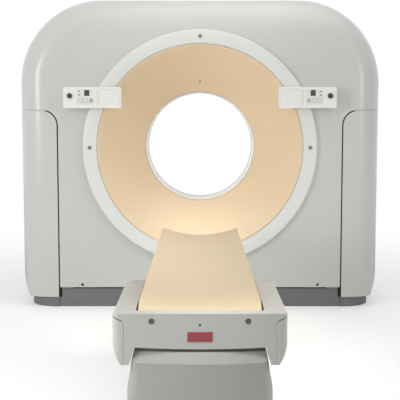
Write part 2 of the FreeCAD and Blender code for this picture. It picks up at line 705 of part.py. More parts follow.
def foot_housing():
    """Light cover at the foot end: two side boxes, a front apron and a strip along the top."""
    right = cut("housing_side", housing_form("housing_outside", housing_section(), as_size(0)),
                housing_form("housing_inside", housing_hollow(), s.housing_wall))
    half, top = s.apron_half_width, s.housing_top
    low = s.apron_bottom - s.recess
    dip = low - s.apron_dip
    bow = (half * half + s.apron_dip * s.apron_dip) / (s.apron_dip * 2)
    apron = prism("apron", "front", [[(-half, low), (0, dip, bow), (half, low, bow),
                                      (half, top), (-half, top)]],
                  s.apron_thick, y=-s.foot_end + s.apron_thick)
    strip = box("end_strip", -half, -s.foot_end, top - s.housing_wall, half * 2,
                s.housing_strip, s.housing_wall)
    drop = box("end_strip_turndown", -half, -s.foot_end + s.housing_strip - s.housing_wall,
               top - s.strip_drop, half * 2, s.housing_wall, s.strip_drop)
    blank = fuse("housing_blank", right, mirror("housing_side_left", right), apron, strip, drop)

    depth = s.apron_thick * 3
    face = -s.foot_end - s.apron_thick
    screw_hole = rod("foot_screw_hole", s.foot_screw_radius + s.fit_gap, depth,
                     s.foot_screw_span, face, s.foot_screw_height, ALONG_Y)
    pilot_hole = rod("pilot_hole", s.pilot_radius + s.fit_gap, depth, 0, face, s.pilot_height,
                     ALONG_Y)
    socket = box("socket_hole", s.socket_span - s.socket_half_width,
                 -s.foot_end + s.housing_length - s.socket_back, top - s.socket_depth,
                 s.socket_half_width * 2, s.socket_half_length * 2, s.socket_depth * 2)
    keep(cut("foot_housing", blank, screw_hole, mirror("foot_screw_hole_left", screw_hole),
             pilot_hole, socket, mirror("socket_hole_left", socket)))

    gap = s.fit_gap
    plug = box("socket_plug", s.socket_span - s.socket_half_width + gap,
               -s.foot_end + s.housing_length - s.socket_back + gap, top - s.socket_depth,
               (s.socket_half_width - gap) * 2, (s.socket_half_length - gap) * 2,
               s.socket_depth - s.face_gap)
    keep(fuse("socket_plugs", plug, mirror("socket_plug_left", plug)))
    screw = rod("foot_screw", s.foot_screw_radius, s.apron_thick - s.foot_screw_sunk,
                s.foot_screw_span, -s.foot_end + s.foot_screw_sunk, s.foot_screw_height, ALONG_Y)
    keep(fuse("foot_screws", screw, mirror("foot_screw_left", screw)))
    keep(rod("foot_lamp", s.pilot_radius, s.apron_thick - s.face_gap, 0,
             -s.foot_end + s.face_gap, s.pilot_height, ALONG_Y))
    keep(box("notice_plate", -(s.label_width / 2), -s.foot_end - s.label_thick, s.label_low,
             s.label_width, s.label_thick, s.label_height))


def side_grips():
    """Long covers let into the flanks of the foot housing."""
    gap = s.grip_gap
    outer = s.housing_half_width
    low = s.housing_bottom
    loop = [(s.leg_outer + s.fit_gap, low), (s.grip_low, low),
            (outer, s.grip_bulge, s.grip_curve), (outer, s.groove_rim - gap),
            (s.groove_top + s.fit_gap, s.groove_middle - gap),
            (s.groove_low + s.fit_gap, s.groove_bottom)]
    side = prism("grip_section", "front", [loop], s.housing_length + MARGIN,
                 y=-s.foot_end + s.housing_length + MARGIN / 2)
    plan = prism("grip_plan", "plan", [housing_plan(as_size(0))], s.housing_top)
    keep_pair(common("right_grip", side, plan), "left_grip", "right_grip")


def tabletop():
    """Shallow trough the patient lies in, on its runner."""
    half, edge, middle = s.top_half_width, s.top_edge, s.top_edge - s.top_dip
    sag = (half * half + s.top_dip * s.top_dip) / (s.top_dip * 2)
    section = [(-half, edge - s.top_lip), (-s.top_flat, s.top_under), (s.top_flat, s.top_under),
               (half, edge - s.top_lip), (half, edge), (0, middle, -sag), (-half, edge, -sag)]
    near = -s.top_foot_end
    slab = prism("tabletop_section", "front", [section], s.top_length, y=near + s.top_length)
    corner = s.top_corner
    far = near + s.top_length
    plan = [(-half, near), (half, near), (half, far - corner), (half - corner, far, corner),
            (-(half - corner), far), (-half, far - corner, corner)]
    trim = prism("tabletop_plan", "plan", [plan], s.top_edge + MARGIN)
    keep(common("tabletop", slab, trim))
    wide = s.runner_half_width
    keep(box("tabletop_runner", -wide, -s.runner_foot_end, s.runner_low, wide * 2,
             s.runner_length, s.top_under - s.runner_low))


def carriage():
    """Second stage under the tabletop: a channel on glide shoes, with guides on top."""
    half, low, top = s.carriage_half_width, s.carriage_low, s.carriage_top
    wall, near, length = s.carriage_wall, -s.carriage_foot_end, s.carriage_length
    channel = [(-half, low), (-(half - wall), low), (-(half - wall), top - wall),
               (half - wall, top - wall), (half - wall, low), (half, low), (half, top),
               (-half, top)]
    beam = prism("carriage_beam", "front", [channel], length, y=near + length)
    plate = s.frame_low + s.frame_plate
    rise = top - wall - plate
    x = s.shoe_span - s.shoe_width / 2
    shoes = [box(f"shoe_{end}", x, at, plate, s.shoe_width, s.shoe_length, rise)
             for end, at in (("near", near), ("far", near + s.frame_length - s.shoe_length * 2))]
    guide = box("guide", s.guide_span - s.guide_width / 2, near, top, s.guide_width, length,
                s.runner_low - top)
    side = [*shoes, guide]
    far_side = [mirror(f"{item.Name}_left", item) for item in side]
    keep(fuse("carriage", beam, *side, *far_side))


def table_frame():
    """Tray on the lifting columns, with rails beside the carriage and arms to the housing."""
    half, low = s.frame_half_width, s.frame_low
    floor = low + s.frame_plate
    near, length = -s.frame_foot_end, s.frame_length
    tray = [(-half, low), (half, low), (half, s.frame_rail_top),
            (half - s.frame_rail, s.frame_rail_top), (half - s.frame_rail, floor),
            (-(half - s.frame_rail), floor), (-(half - s.frame_rail), s.frame_rail_top),
            (-half, s.frame_rail_top)]
    body = prism("table_tray", "front", [tray], length, y=near + length)
    reach = s.housing_inner * 2
    arms = [box(f"arm_{end}", -s.housing_inner, -at, s.arm_low, reach, s.arm_thick,
                s.frame_rail_top - s.arm_low)
            for end, at in (("near", s.arm_near), ("far", s.arm_far))]
    clear = box("carriage_way", -(half - s.frame_rail), near - MARGIN, floor,
                (half - s.frame_rail) * 2, length + MARGIN * 2, MARGIN)
    keep(cut("table_frame", fuse("table_frame_blank", body, *arms), clear))


def lifting_columns():
    """Two alike three-stage columns; the stages run inside one another."""
    stages = (("outer_tubes", s.outer_tube, s.outer_tube_low, s.frame_low),
              ("middle_tubes", s.middle_tube, s.middle_tube_low, s.middle_tube_top),
              ("inner_tubes", s.inner_tube, s.base_thick, s.inner_tube_top))
    for name, half, low, top in stages:
        pair = []
        for end, at in (("foot", s.column_near), ("head", s.column_far)):
            solid = centred_box(f"{name}_{end}_solid", 0, -at, low, half * 2, half * 2, top - low)
            inside = (half - s.tube_wall) * 2
            bore = centred_box(f"{name}_{end}_bore", 0, -at, low - MARGIN, inside, inside,
                               top - low + MARGIN * 2)
            pair.append(cut(f"{name}_{end}", solid, bore))
        keep(fuse(name, *pair))


def sleeve(name, step, low, top):
    """A rectangular sleeve with rounded corners, drawn in by a step from the pedestal."""
    def plan(inset):
        half = s.pedestal_top_half_width - inset
        near, far = -s.pedestal_foot_end + inset + s.sleeve_inset, s.pedestal_end - inset
        r = s.pedestal_corner - inset / 2
        return rounded_rectangle(-half, half, near, far, r)
    outer = prism(f"{name}_outside", "plan", [plan(step)], top - low, z=low)
    inner = prism(f"{name}_inside", "plan", [plan(step + s.sleeve_wall)],
                  top - low + MARGIN * 2, z=low - MARGIN)
    return cut(name, outer, inner)


def pedestal():
    """Grey cover standing on the floor, wider below, with a bevelled upper edge."""
    def block(name, step, low, top):
        side, narrow = s.pedestal_half_width - step, s.pedestal_top_half_width - step
        bevel = s.pedestal_bevel
        rise, lean = top - s.pedestal_flank, side - narrow
        flank = (rise * rise + lean * lean) / (lean * 2)
        section = [(-side, low), (side, low), (side, s.pedestal_flank), (narrow, top, flank),
                   (-narrow, top), (-side, s.pedestal_flank, flank)]
        near, far = -s.pedestal_foot_end + step, s.pedestal_end - step
        across = prism(f"{name}_across", "front", [section], s.pedestal_length + MARGIN,
                       y=s.pedestal_end + MARGIN / 2)
        profile = [(near, low), (far, low), (far, top), (near + bevel, top),
                   (near + s.pedestal_nose, s.pedestal_shoulder + bevel / 2),
                   (near, s.pedestal_shoulder)]
        along = prism(f"{name}_along", "side", [profile], s.pedestal_half_width * 2 + MARGIN,
                      x=-s.pedestal_half_width - MARGIN / 2)
        r = s.pedestal_corner - step
        plan = prism(f"{name}_plan", "plan",
                     [rounded_rectangle(-side, side, near, far, r)], top + MARGIN)
        return common(name, across, along, plan)
    outer = block("pedestal_outside", as_size(0), s.pedestal_low, s.pedestal_top)
    inner = block("pedestal_inside", s.sleeve_wall, s.pedestal_low - MARGIN,
                  s.pedestal_top - s.sleeve_wall)
    half = s.pedestal_top_half_width - s.sleeve_step
    mouth = prism("pedestal_mouth", "plan", [rounded_rectangle(
        -half, half, -s.pedestal_foot_end + s.sleeve_inset + s.sleeve_step,
        s.pedestal_end - s.sleeve_step, s.pedestal_corner - s.sleeve_step / 2)],
        s.pedestal_top, z=s.pedestal_shoulder)
    half = s.frame_half_width + s.sleeve_clear
    tray_way = box("pedestal_tray_way", -half, -(s.frame_foot_end + s.sleeve_clear),
                   s.frame_low - s.sleeve_clear, half * 2, s.pedestal_length, MARGIN)
    keep(cut("pedestal_cover", outer, inner, mouth, tray_way))
    step = s.sleeve_step + s.sleeve_clear
    skirt = sleeve("middle_skirt", step, s.sleeve_low, s.sleeve_top)
    half = s.pedestal_top_half_width - step - s.sleeve_wall / 2
    ribs = [box(f"stage_rib_{end}", -half, -at - s.rib_half_length, s.rib_low, half * 2,
                s.rib_half_length * 2, s.rib_thick)
            for end, at in (("foot", s.column_near), ("head", s.column_far))]
    way = (s.middle_tube + s.seat_gap) * 2
    ways = [centred_box(f"stage_way_{end}", 0, -at, s.rib_low - s.rib_thick, way, way,
                        s.rib_thick * 3)
            for end, at in (("foot", s.column_near), ("head", s.column_far))]
    keep(cut("middle_sleeve", fuse("middle_stage_blank", skirt, *ribs), *ways))
    keep(sleeve("upper_sleeve", step + s.sleeve_wall + s.sleeve_clear, s.cap_low, s.frame_low))


def table_base():
    inset = s.sleeve_wall + s.seat_gap
    half = s.pedestal_half_width - inset
    outline = rounded_rectangle(-half, half, -s.pedestal_foot_end + inset,
                                s.pedestal_end - inset, s.pedestal_corner - inset)
    plate = prism("base_blank", "plan", [outline], s.base_thick)
    holes = [rod(f"table_anchor_{name}", s.anchor_radius, s.base_thick * 3, x, -at,
                 -s.base_thick)
             for name, x, at in (("near_right", s.table_anchor_span, s.table_anchor_near),
                                 ("far_right", s.table_anchor_span, s.table_anchor_far),
                                 ("near_left", -s.table_anchor_span, s.table_anchor_near),
                                 ("far_left", -s.table_anchor_span, s.table_anchor_far))]
    keep(cut("table_base", plate, *holes))


gantry_covers()
gantry_plinths()
bore_parts()
panels()
gantry_base()
standing_frame()
turning_parts()
gantry_units()
foot_housing()
side_grips()
tabletop()
carriage()
table_frame()
lifting_columns()
pedestal()
table_base()
doc.recompute()

for item in doc.Objects:
    state = [word for word in item.State if word in ("Invalid", "Error")]
    if state:
        raise RuntimeError(f"{item.Name} is {state}")
for name, item in nodes.items():
    if item.Shape.isNull() or not item.Shape.isValid() or not item.Shape.Solids:
        raise RuntimeError(f"{name} has no good shape")
    item.Shape.exportStep(f"parts/{name}.step")
print("pieces written:", len(nodes))
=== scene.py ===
"""Looks of a hospital CT scanner: a glossy gantry with a beige bore, and its patient table."""
import logging
import math
from dataclasses import dataclass
from enum import Enum
from typing import Any, Callable, Sequence

import bmesh
import bpy
from mathutils import Matrix, Vector


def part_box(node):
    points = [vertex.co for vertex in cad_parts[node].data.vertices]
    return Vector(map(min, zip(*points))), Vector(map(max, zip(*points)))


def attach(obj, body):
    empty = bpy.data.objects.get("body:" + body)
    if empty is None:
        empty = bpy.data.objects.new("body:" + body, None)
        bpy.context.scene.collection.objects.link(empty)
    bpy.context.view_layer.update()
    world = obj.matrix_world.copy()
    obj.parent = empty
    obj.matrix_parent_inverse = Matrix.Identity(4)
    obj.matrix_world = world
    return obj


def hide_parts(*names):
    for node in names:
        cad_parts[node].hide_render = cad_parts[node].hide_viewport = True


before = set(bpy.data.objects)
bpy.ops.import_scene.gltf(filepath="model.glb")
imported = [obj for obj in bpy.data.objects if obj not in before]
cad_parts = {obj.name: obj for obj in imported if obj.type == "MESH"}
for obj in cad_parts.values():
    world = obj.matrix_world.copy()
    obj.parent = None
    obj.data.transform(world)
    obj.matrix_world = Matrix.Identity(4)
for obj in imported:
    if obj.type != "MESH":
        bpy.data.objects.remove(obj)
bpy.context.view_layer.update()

LOG = logging.getLogger("ct_scanner")
MM = 0.001
WELD = 0.01 * MM
FLAT_ANGLE = 0.6
AXIS_HEIGHT = 0.99
COAT_ROUGHNESS = 0.15
BUMP_STRENGTH = 0.6
WHITE = (1.0, 1.0, 1.0, 1.0)
NUMBER, COLOUR, SHAPE = "NodeSocketFloat", "NodeSocketColor", "NodeSocketGeometry"
FACES = (("front", -1), ("rear", 1))
SIDES = (("left", -1), ("right", 1))
Point = tuple[float, float]
Place = tuple[float, float, float]
Piece = bpy.types.Object
Tree = bpy.types.NodeTree


class Body(Enum):
    """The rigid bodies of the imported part."""

    GANTRY = "gantry_and_base"
    MIDDLE = "middle_stage"
    TABLE = "table_upper"
    CARRIAGE = "carriage_stage"
    PATIENT = "patient_top"
    LEFT_STOP = "left_stop"
    RIGHT_STOP = "right_stop"


class Skin(Enum):
    """How a surface is textured by the way it was made."""

    MOULDED = "moulded_skin"
    POWDER = "powder_skin"
    BRUSHED = "brushed_skin"
    CAST = "cast_skin"
    WOVEN = "woven_skin"
    WOUND = "wound_skin"


# ------------------------------------------------------------------ shader graphs

class Graph:
    """Adds and joins nodes of one shader or geometry tree."""

    def __init__(self, tree: Tree) -> None:
        """Keeps the node tree to fill."""
        self.tree = tree

    def feed(self, node: Any, inputs: dict[Any, Any]) -> None:
        """Sets the inputs of a node.

        Args:
            node: The node.
            inputs: Values or output sockets by input name or place.
        """
        for name, value in inputs.items():
            if isinstance(value, bpy.types.NodeSocket):
                self.tree.links.new(value, node.inputs[name])
            else:
                node.inputs[name].default_value = value

    def add(self, kind: str, inputs: dict[Any, Any] | None = None, **settings: Any) -> Any:
        """Adds a node.

        Args:
            kind: Blender's name of the node type.
            inputs: Values or output sockets by input name or place.
            **settings: Attributes of the node.

        Returns:
            The new node.
        """
        node = self.tree.nodes.new(kind)
        for name, value in settings.items():
            setattr(node, name, value)
        self.feed(node, inputs or {})
        return node

    def maths(self, operation: str, *values: Any) -> Any:
        """Adds a Math node on numbers or sockets and returns its result's socket."""
        return self.add("ShaderNodeMath", dict(enumerate(values)), operation=operation).outputs[0]

    def noise(self, place: Any, scale: Any, detail: float, **more: float) -> Any:
        """Adds noise at coordinates, with its features per metre and number of octaves."""
        return self.add("ShaderNodeTexNoise", {
            "Vector": place, "Scale": scale, "Detail": detail, **more}).outputs[0]

    def place(self) -> Any:
        """Adds the object's own coordinates and returns their socket."""
        return self.add("ShaderNodeTexCoord").outputs["Object"]


def open_group(name: str, sockets_in: dict[str, str], sockets_out: dict[str, str],
        kind: str = "ShaderNodeTree") -> tuple[Graph, Any, Any]:
    """Starts a node group with named inputs and outputs.

    Args:
        name: Name of the group.
        sockets_in: Socket type by input name.
        sockets_out: Socket type by output name.
        kind: Type of tree.

    Returns:
        Its graph, the sockets that bring its inputs and those that take its results.
    """
    tree = bpy.data.node_groups.new(name, kind)
    for way, sockets in (("INPUT", sockets_in), ("OUTPUT", sockets_out)):
        for socket, socket_type in sockets.items():
            tree.interface.new_socket(socket, in_out=way, socket_type=socket_type)
    graph = Graph(tree)
    return graph, graph.add("NodeGroupInput").outputs, graph.add("NodeGroupOutput").inputs


class SurfaceEffects:
    """Shader groups that several finishes share: textures, drifting tone and handling marks."""

    wave_scale = 0.07
    wave_weight = 0.6
    line_stretch = (0.03, 1.0, 1.0)
    flecks = 420.0
    wipe_scale = (2.5, 2.5, 9.0)
    wipe_turn = (0.3, 0.5, 0.2)
    smears = 1.6
    hairs = 90.0
    hair_weight = 0.3
    middle_tone = 0.5
    middle_marks = 0.65

    def __init__(self) -> None:
        """Builds every group once."""
        self.groups = {}
        for skin in Skin:
            graph, given, result = open_group(skin.value, {"Scale": NUMBER}, {"Height": NUMBER})
            height = self.height(skin, graph, graph.place(), given["Scale"])
            graph.tree.links.new(height, result["Height"])
            self.groups[skin] = graph.tree
        self.tone = self.tone_drift()
        self.marks = self.handling_marks()

    def height(self, skin: Skin, graph: Graph, place: Any, scale: Any) -> Any:
        """Adds the nodes of one texture.

        Args:
            skin: Which texture.
            graph: The graph of its group.
            place: Socket of the coordinates.
            scale: Socket of the features per metre.

        Returns:
            Socket of the height.
        """
        base = {"Vector": place, "Scale": scale}
        if skin is Skin.MOULDED:  # orange peel over the slow waves of a moulded panel
            waves = graph.noise(place, graph.maths("MULTIPLY", scale, self.wave_scale), 1.0)
            return graph.maths("MULTIPLY_ADD", waves, self.wave_weight,
                graph.noise(place, scale, 3.0))
        if skin is Skin.POWDER:  # fine beads of powder coat and textured mouldings
            beads = graph.add("ShaderNodeTexVoronoi", base)
            return graph.maths("ADD", beads.outputs["Distance"], graph.noise(place, scale, 4.0))
        if skin is Skin.BRUSHED:  # lines left by brushing or turning
            drawn = graph.add("ShaderNodeMapping", {"Vector": place, "Scale": self.line_stretch})
            return graph.noise(drawn.outputs[0], scale, 5.0, Roughness=0.7)
        if skin is Skin.CAST:  # pitted skin of cast metal
            pits = graph.add("ShaderNodeTexVoronoi", base, feature="SMOOTH_F1")
            return graph.maths("MULTIPLY", graph.noise(place, scale, 6.0, Roughness=0.65),
                pits.outputs["Distance"])
        # Two crossing sets of threads under a clear skin, or wires laid side by side.
        ways, form = (("X", "Y"), (0.4, 1.0)) if skin is Skin.WOVEN else (("Z",), (0.8, 2.0))
        rows = [graph.add("ShaderNodeTexWave", {**base, "Distortion": form[0], "Detail": form[1]},
            bands_direction=way).outputs[1] for way in ways]
        return graph.maths("MAXIMUM", *rows) if skin is Skin.WOVEN else rows[0]

    def tone_drift(self) -> Tree:
        """A colour that wanders slowly, darker where air leaves dust on level tops.

        Returns:
            The group.
        """
        graph, given, result = open_group(
            "tone_drift", {"Colour": COLOUR, "Drift": NUMBER, "Dust": NUMBER, "Scale": NUMBER},
            {"Colour": COLOUR})
        place = graph.place()
        cloud = graph.maths("SUBTRACT", graph.noise(place, given["Scale"], 4.0), self.middle_tone)
        normal = graph.add("ShaderNodeNewGeometry").outputs["Normal"]
        up = graph.add("ShaderNodeSeparateXYZ", {0: normal}).outputs["Z"]
        level = graph.add("ShaderNodeMapRange", {"Value": up, "From Min": 0.7, "From Max": 1.0})
        specks = graph.maths("MULTIPLY", level.outputs[0], graph.noise(place, self.flecks, 2.0))
        sway = graph.maths("ADD", graph.maths("MULTIPLY", cloud, given["Drift"]), 1.0)
        value = graph.maths("SUBTRACT", sway, graph.maths("MULTIPLY", specks, given["Dust"]))
        shade = graph.add("ShaderNodeHueSaturation", {"Color": given["Colour"], "Value": value})
        graph.tree.links.new(shade.outputs[0], result["Colour"])
        return graph.tree

    def handling_marks(self) -> Tree:
        """Roughness broken by wiping smears and hair scratches.

        Returns:
            The group.
        """
        graph, given, result = open_group(
            "handling_marks", {"Roughness": NUMBER, "Smear": NUMBER}, {"Roughness": NUMBER})
        wiped = graph.add("ShaderNodeMapping", {"Vector": graph.place(),
            "Scale": self.wipe_scale, "Rotation": self.wipe_turn}).outputs[0]
        both = graph.maths("MULTIPLY_ADD", graph.noise(wiped, self.hairs, 2.0), self.hair_weight,
            graph.noise(wiped, self.smears, 5.0, Distortion=0.6))
        swing = graph.maths("MULTIPLY", graph.maths("SUBTRACT", both, self.middle_marks),
            given["Smear"])
        rough = graph.maths("ADD", given["Roughness"], swing)
        held = graph.add("ShaderNodeClamp", {"Value": rough, "Min": 0.03, "Max": 1.0})
        graph.tree.links.new(held.outputs[0], result["Roughness"])
        return graph.tree


@dataclass(frozen=True)
class Finish:
    """One surface finish of the scanner.

    Attributes:
        colour: Colour in 8-bit sRGB.
        skin: Texture of the surface.
        roughness: Middle roughness.
        metallic: 1 for bare metal.
        coat: Weight of a clear top layer.
        grain: Features of the texture per metre.
        relief: Depth of the texture in metres.
        drift: How far the tone wanders.
        smear: How much wiping and handling change the gloss.
        dust: How much level tops are dulled.
        clouds: Patches of the wandering tone per metre.
        specular: Strength of the mirror part on non-metals.
    """

    colour: tuple[int, int, int]
    skin: Skin = Skin.MOULDED
    roughness: float = 0.4
    metallic: float = 0.0
    coat: float = 0.0
    grain: float = 420.0
    relief: float = 0.03 * MM
    drift: float = 0.05
    smear: float = 0.12
    dust: float = 0.03
    clouds: float = 2.3
    specular: float = 0.5

    def linear(self) -> tuple[float, float, float, float]:
        """The colour as linear red, green, blue and alpha."""
        parts = [c / 255 for c in self.colour]
        return (*[c / 12.92 if c <= 0.04045 else ((c + 0.055) / 1.055) ** 2.4 for c in parts], 1.0)

    def build(self, name: str, effects: SurfaceEffects) -> bpy.types.Material:
        """Makes the material.

        Args:
            name: Name of the material.
            effects: The shared shader groups.

        Returns:
            The material.
        """
        material = bpy.data.materials.new(name)
        material.use_nodes = True
        graph = Graph(material.node_tree)
        tone = graph.add("ShaderNodeGroup", {
            "Colour": self.linear(), "Drift": self.drift, "Dust": self.dust,
            "Scale": self.clouds}, node_tree=effects.tone)
        marks = graph.add("ShaderNodeGroup", {"Roughness": self.roughness, "Smear": self.smear},
            node_tree=effects.marks)
        skin = graph.add("ShaderNodeGroup", {"Scale": self.grain},
            node_tree=effects.groups[self.skin])
        bump = graph.add("ShaderNodeBump", {"Strength": BUMP_STRENGTH, "Distance": self.relief,
            "Height": skin.outputs["Height"]})
        graph.feed(material.node_tree.nodes["Principled BSDF"], {
            "Metallic": self.metallic, "Specular IOR Level": self.specular,
            "Coat Weight": self.coat, "Coat Roughness": COAT_ROUGHNESS,
            "Base Color": tone.outputs["Colour"], "Roughness": marks.outputs["Roughness"],
            "Normal": bump.outputs["Normal"]})
        return material


FINISHES = {
    "cover_light_grey": Finish((196, 198, 194), roughness=0.32, coat=0.35, grain=300.0),
    "ring_white": Finish((220, 222, 217), roughness=0.3, coat=0.3),
    "funnel_beige": Finish((231, 209, 176), roughness=0.42, coat=0.1, drift=0.03),
    "liner_white": Finish((250, 250, 247), roughness=0.35, drift=0.02),
    "plinth_grey": Finish((112, 113, 112), Skin.POWDER, roughness=0.62, grain=900.0),
    "panel_white": Finish((231, 231, 226), roughness=0.28, coat=0.3),
    "plate_pale": Finish((228, 229, 228), Skin.BRUSHED, roughness=0.35, grain=700.0),
    "keypad_white": Finish((222, 222, 217), Skin.POWDER, roughness=0.5, grain=1600.0),
    "button_dark": Finish((52, 46, 46), roughness=0.32, coat=0.4),
    "optic_dark": Finish((30, 30, 33), roughness=0.08, coat=1.0, relief=0.005 * MM, smear=0.05),
    "lock_dark": Finish((60, 60, 62), Skin.BRUSHED, roughness=0.4, metallic=0.8, grain=900.0),
    "frame_steel": Finish((118, 124, 131), Skin.POWDER, roughness=0.55, metallic=0.2),
    "bearing_steel": Finish((160, 162, 166), Skin.BRUSHED, roughness=0.25, metallic=1.0),
    "drum_aluminium": Finish((182, 184, 187), Skin.CAST, roughness=0.45, metallic=1.0,
        grain=260.0, relief=0.1 * MM),
    "coil_copper": Finish((176, 105, 66), Skin.WOUND, roughness=0.35, metallic=0.9, grain=120.0,
        relief=0.6 * MM),
    "unit_metal": Finish((150, 153, 156), Skin.BRUSHED, roughness=0.4, metallic=0.7),
    "tube_metal": Finish((168, 164, 156), Skin.CAST, roughness=0.4, metallic=0.8, grain=200.0),
    "weight_iron": Finish((84, 84, 86), Skin.CAST, roughness=0.6, metallic=0.7, grain=180.0,
        relief=0.2 * MM),
    "cabinet_metal": Finish((190, 191, 186), Skin.POWDER, roughness=0.5, grain=700.0),
    "housing_grey": Finish((172, 174, 170), roughness=0.34, coat=0.15, grain=380.0),
    "grip_grey": Finish((174, 175, 171), Skin.POWDER, roughness=0.5, grain=1100.0),
    "pedestal_grey": Finish((152, 153, 149), Skin.POWDER, roughness=0.46, grain=800.0),
    "sleeve_grey": Finish((182, 183, 180), Skin.POWDER, roughness=0.5, grain=800.0),
    "column_steel": Finish((158, 160, 163), Skin.BRUSHED, roughness=0.3, metallic=1.0),
    "tray_metal": Finish((146, 149, 152), Skin.POWDER, roughness=0.5, metallic=0.3),
    "carriage_metal": Finish((166, 168, 170), Skin.BRUSHED, roughness=0.38, metallic=0.9),
    "tabletop_beige": Finish((207, 186, 151), Skin.WOVEN, roughness=0.45, coat=0.1, grain=60.0,
        relief=0.02 * MM, drift=0.03, specular=0.3),
    "notice_red": Finish((140, 48, 51), roughness=0.35, coat=0.4),
    "plug_grey": Finish((140, 142, 137), Skin.POWDER, roughness=0.6, grain=1200.0),
}


class Paints:
    """Every finish, made once and found by its slot."""

    def __init__(self) -> None:
        """Builds the shared groups and all materials."""
        effects = SurfaceEffects()
        self.by_slot = {slot: finish.build(f"{slot}_finish", effects)
            for slot, finish in FINISHES.items()}
        self.slots = {name: node.data.materials[0].name for name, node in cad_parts.items()}

    def dress_nodes(self) -> None:
        """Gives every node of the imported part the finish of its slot."""
        for name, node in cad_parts.items():
            slot = self.slots[name]
            node.material_slots[0].link = "OBJECT"
            node.material_slots[0].material = self.by_slot[slot]
            LOG.info("node %s wears %s", name, slot)


# ------------------------------------------------------------------ mesh helpers

def link_object(name: str, data: Any) -> Piece:
    """Puts new data into the scene.

    Args:
        name: Name of the object.
        data: Its mesh, lamp or camera.

    Returns:
        The object, at the origin.
    """
    item = bpy.data.objects.new(name, data)
    bpy.context.scene.collection.objects.link(item)
    return item


def link_mesh(name: str, bm: bmesh.types.BMesh, sharp: float = 32.0) -> Piece:
    """Turns worked mesh data into an object with smooth shading.

    Args:
        name: Name of the piece.
        bm: The mesh data, freed here.
        sharp: Angle in degrees over which an edge stays crisp.

    Returns:
        The object.
    """
    mesh = bpy.data.meshes.new(name)
    bm.to_mesh(mesh)
    bm.free()
    mesh.shade_smooth()
    mesh.set_sharp_from_angle(angle=math.radians(sharp))
    return link_object(name, mesh)


def round_edges(piece: Piece, radius: float, segments: int = 3, angle: float = 30.0) -> None:
    """Rolls the sharp edges of a piece.

    Args:
        piece: The piece.
        radius: Width of the rounding in metres.
        segments: Faces across it.
        angle: Edges sharper than this, in degrees, are rolled.
    """
    piece.data.shade_smooth()
    roll = piece.modifiers.new("rolled_edges", "BEVEL")
    roll.width = radius
    roll.segments = segments
    roll.limit_method = "ANGLE"
    roll.angle_limit = math.radians(angle)
    piece.modifiers.new("even_shading", "WEIGHTED_NORMAL").keep_sharp = True


def evaluated_mesh(piece: Piece) -> bpy.types.Mesh:
    """Applies the modifiers of an object.

    Args:
        piece: The object.

    Returns:
        A new mesh with their result.
    """
    bpy.context.view_layer.update()
    graph = bpy.context.evaluated_depsgraph_get()
    return bpy.data.meshes.new_from_object(piece.evaluated_get(graph))


def quarter(steps: int) -> list[float]:
    """Angles over a quarter turn in equal steps, both ends among them."""
    return [math.pi / 2 * i / steps for i in range(steps + 1)]


def ease(share: float) -> float:
    """Smooth step from 0 to 1, with the share held between them."""
    share = min(max(share, 0.0), 1.0)
    return share * share * (3 - 2 * share)


def stitch(bm: bmesh.types.BMesh, rings: Sequence[Sequence[Any]], caps: bool = True) -> None:
    """Skins closed rings of points, one after another.

    Args:
        bm: The mesh data.
        rings: The rings, all of one length.
        caps: Whether the first and the last ring are closed.
    """
    for here, following in zip(rings, rings[1:]):
        for i, corner in enumerate(here):
            after = (i + 1) % len(here)
            bm.faces.new((corner, here[after], following[after], following[i]))
    if caps:
        bm.faces.new(rings[0])
        bm.faces.new(rings[-1])
    bmesh.ops.recalc_face_normals(bm, faces=bm.faces)


def rounded(points: Sequence[Point], radii: Sequence[float], steps: int = 5) -> list[Point]:
    """Closed outline with its corners turned into arcs.

    Args:
        points: The corners in order.
        radii: Radius at each corner, 0 for a crisp one.
        steps: Straight pieces per arc.

    Returns:
        The points of the outline.
    """
    outline: list[Point] = []
    for i, (corner, radius) in enumerate(zip(points, radii)):
        if radius <= 0:
            outline.append(corner)
            continue
        here = Vector(corner)
        back = (Vector(points[i - 1]) - here).normalized()
        ahead = (Vector(points[(i + 1) % len(points)]) - here).normalized()
        half = back.angle(ahead) / 2
        centre = here + (back + ahead).normalized() * (radius / math.sin(half))
        start = (here + back * (radius / math.tan(half)) - centre).normalized()
        end = (here + ahead * (radius / math.tan(half)) - centre).normalized()
        for step in range(steps + 1):
            outline.append(tuple(centre + start.slerp(end, step / steps) * radius))
    return outline


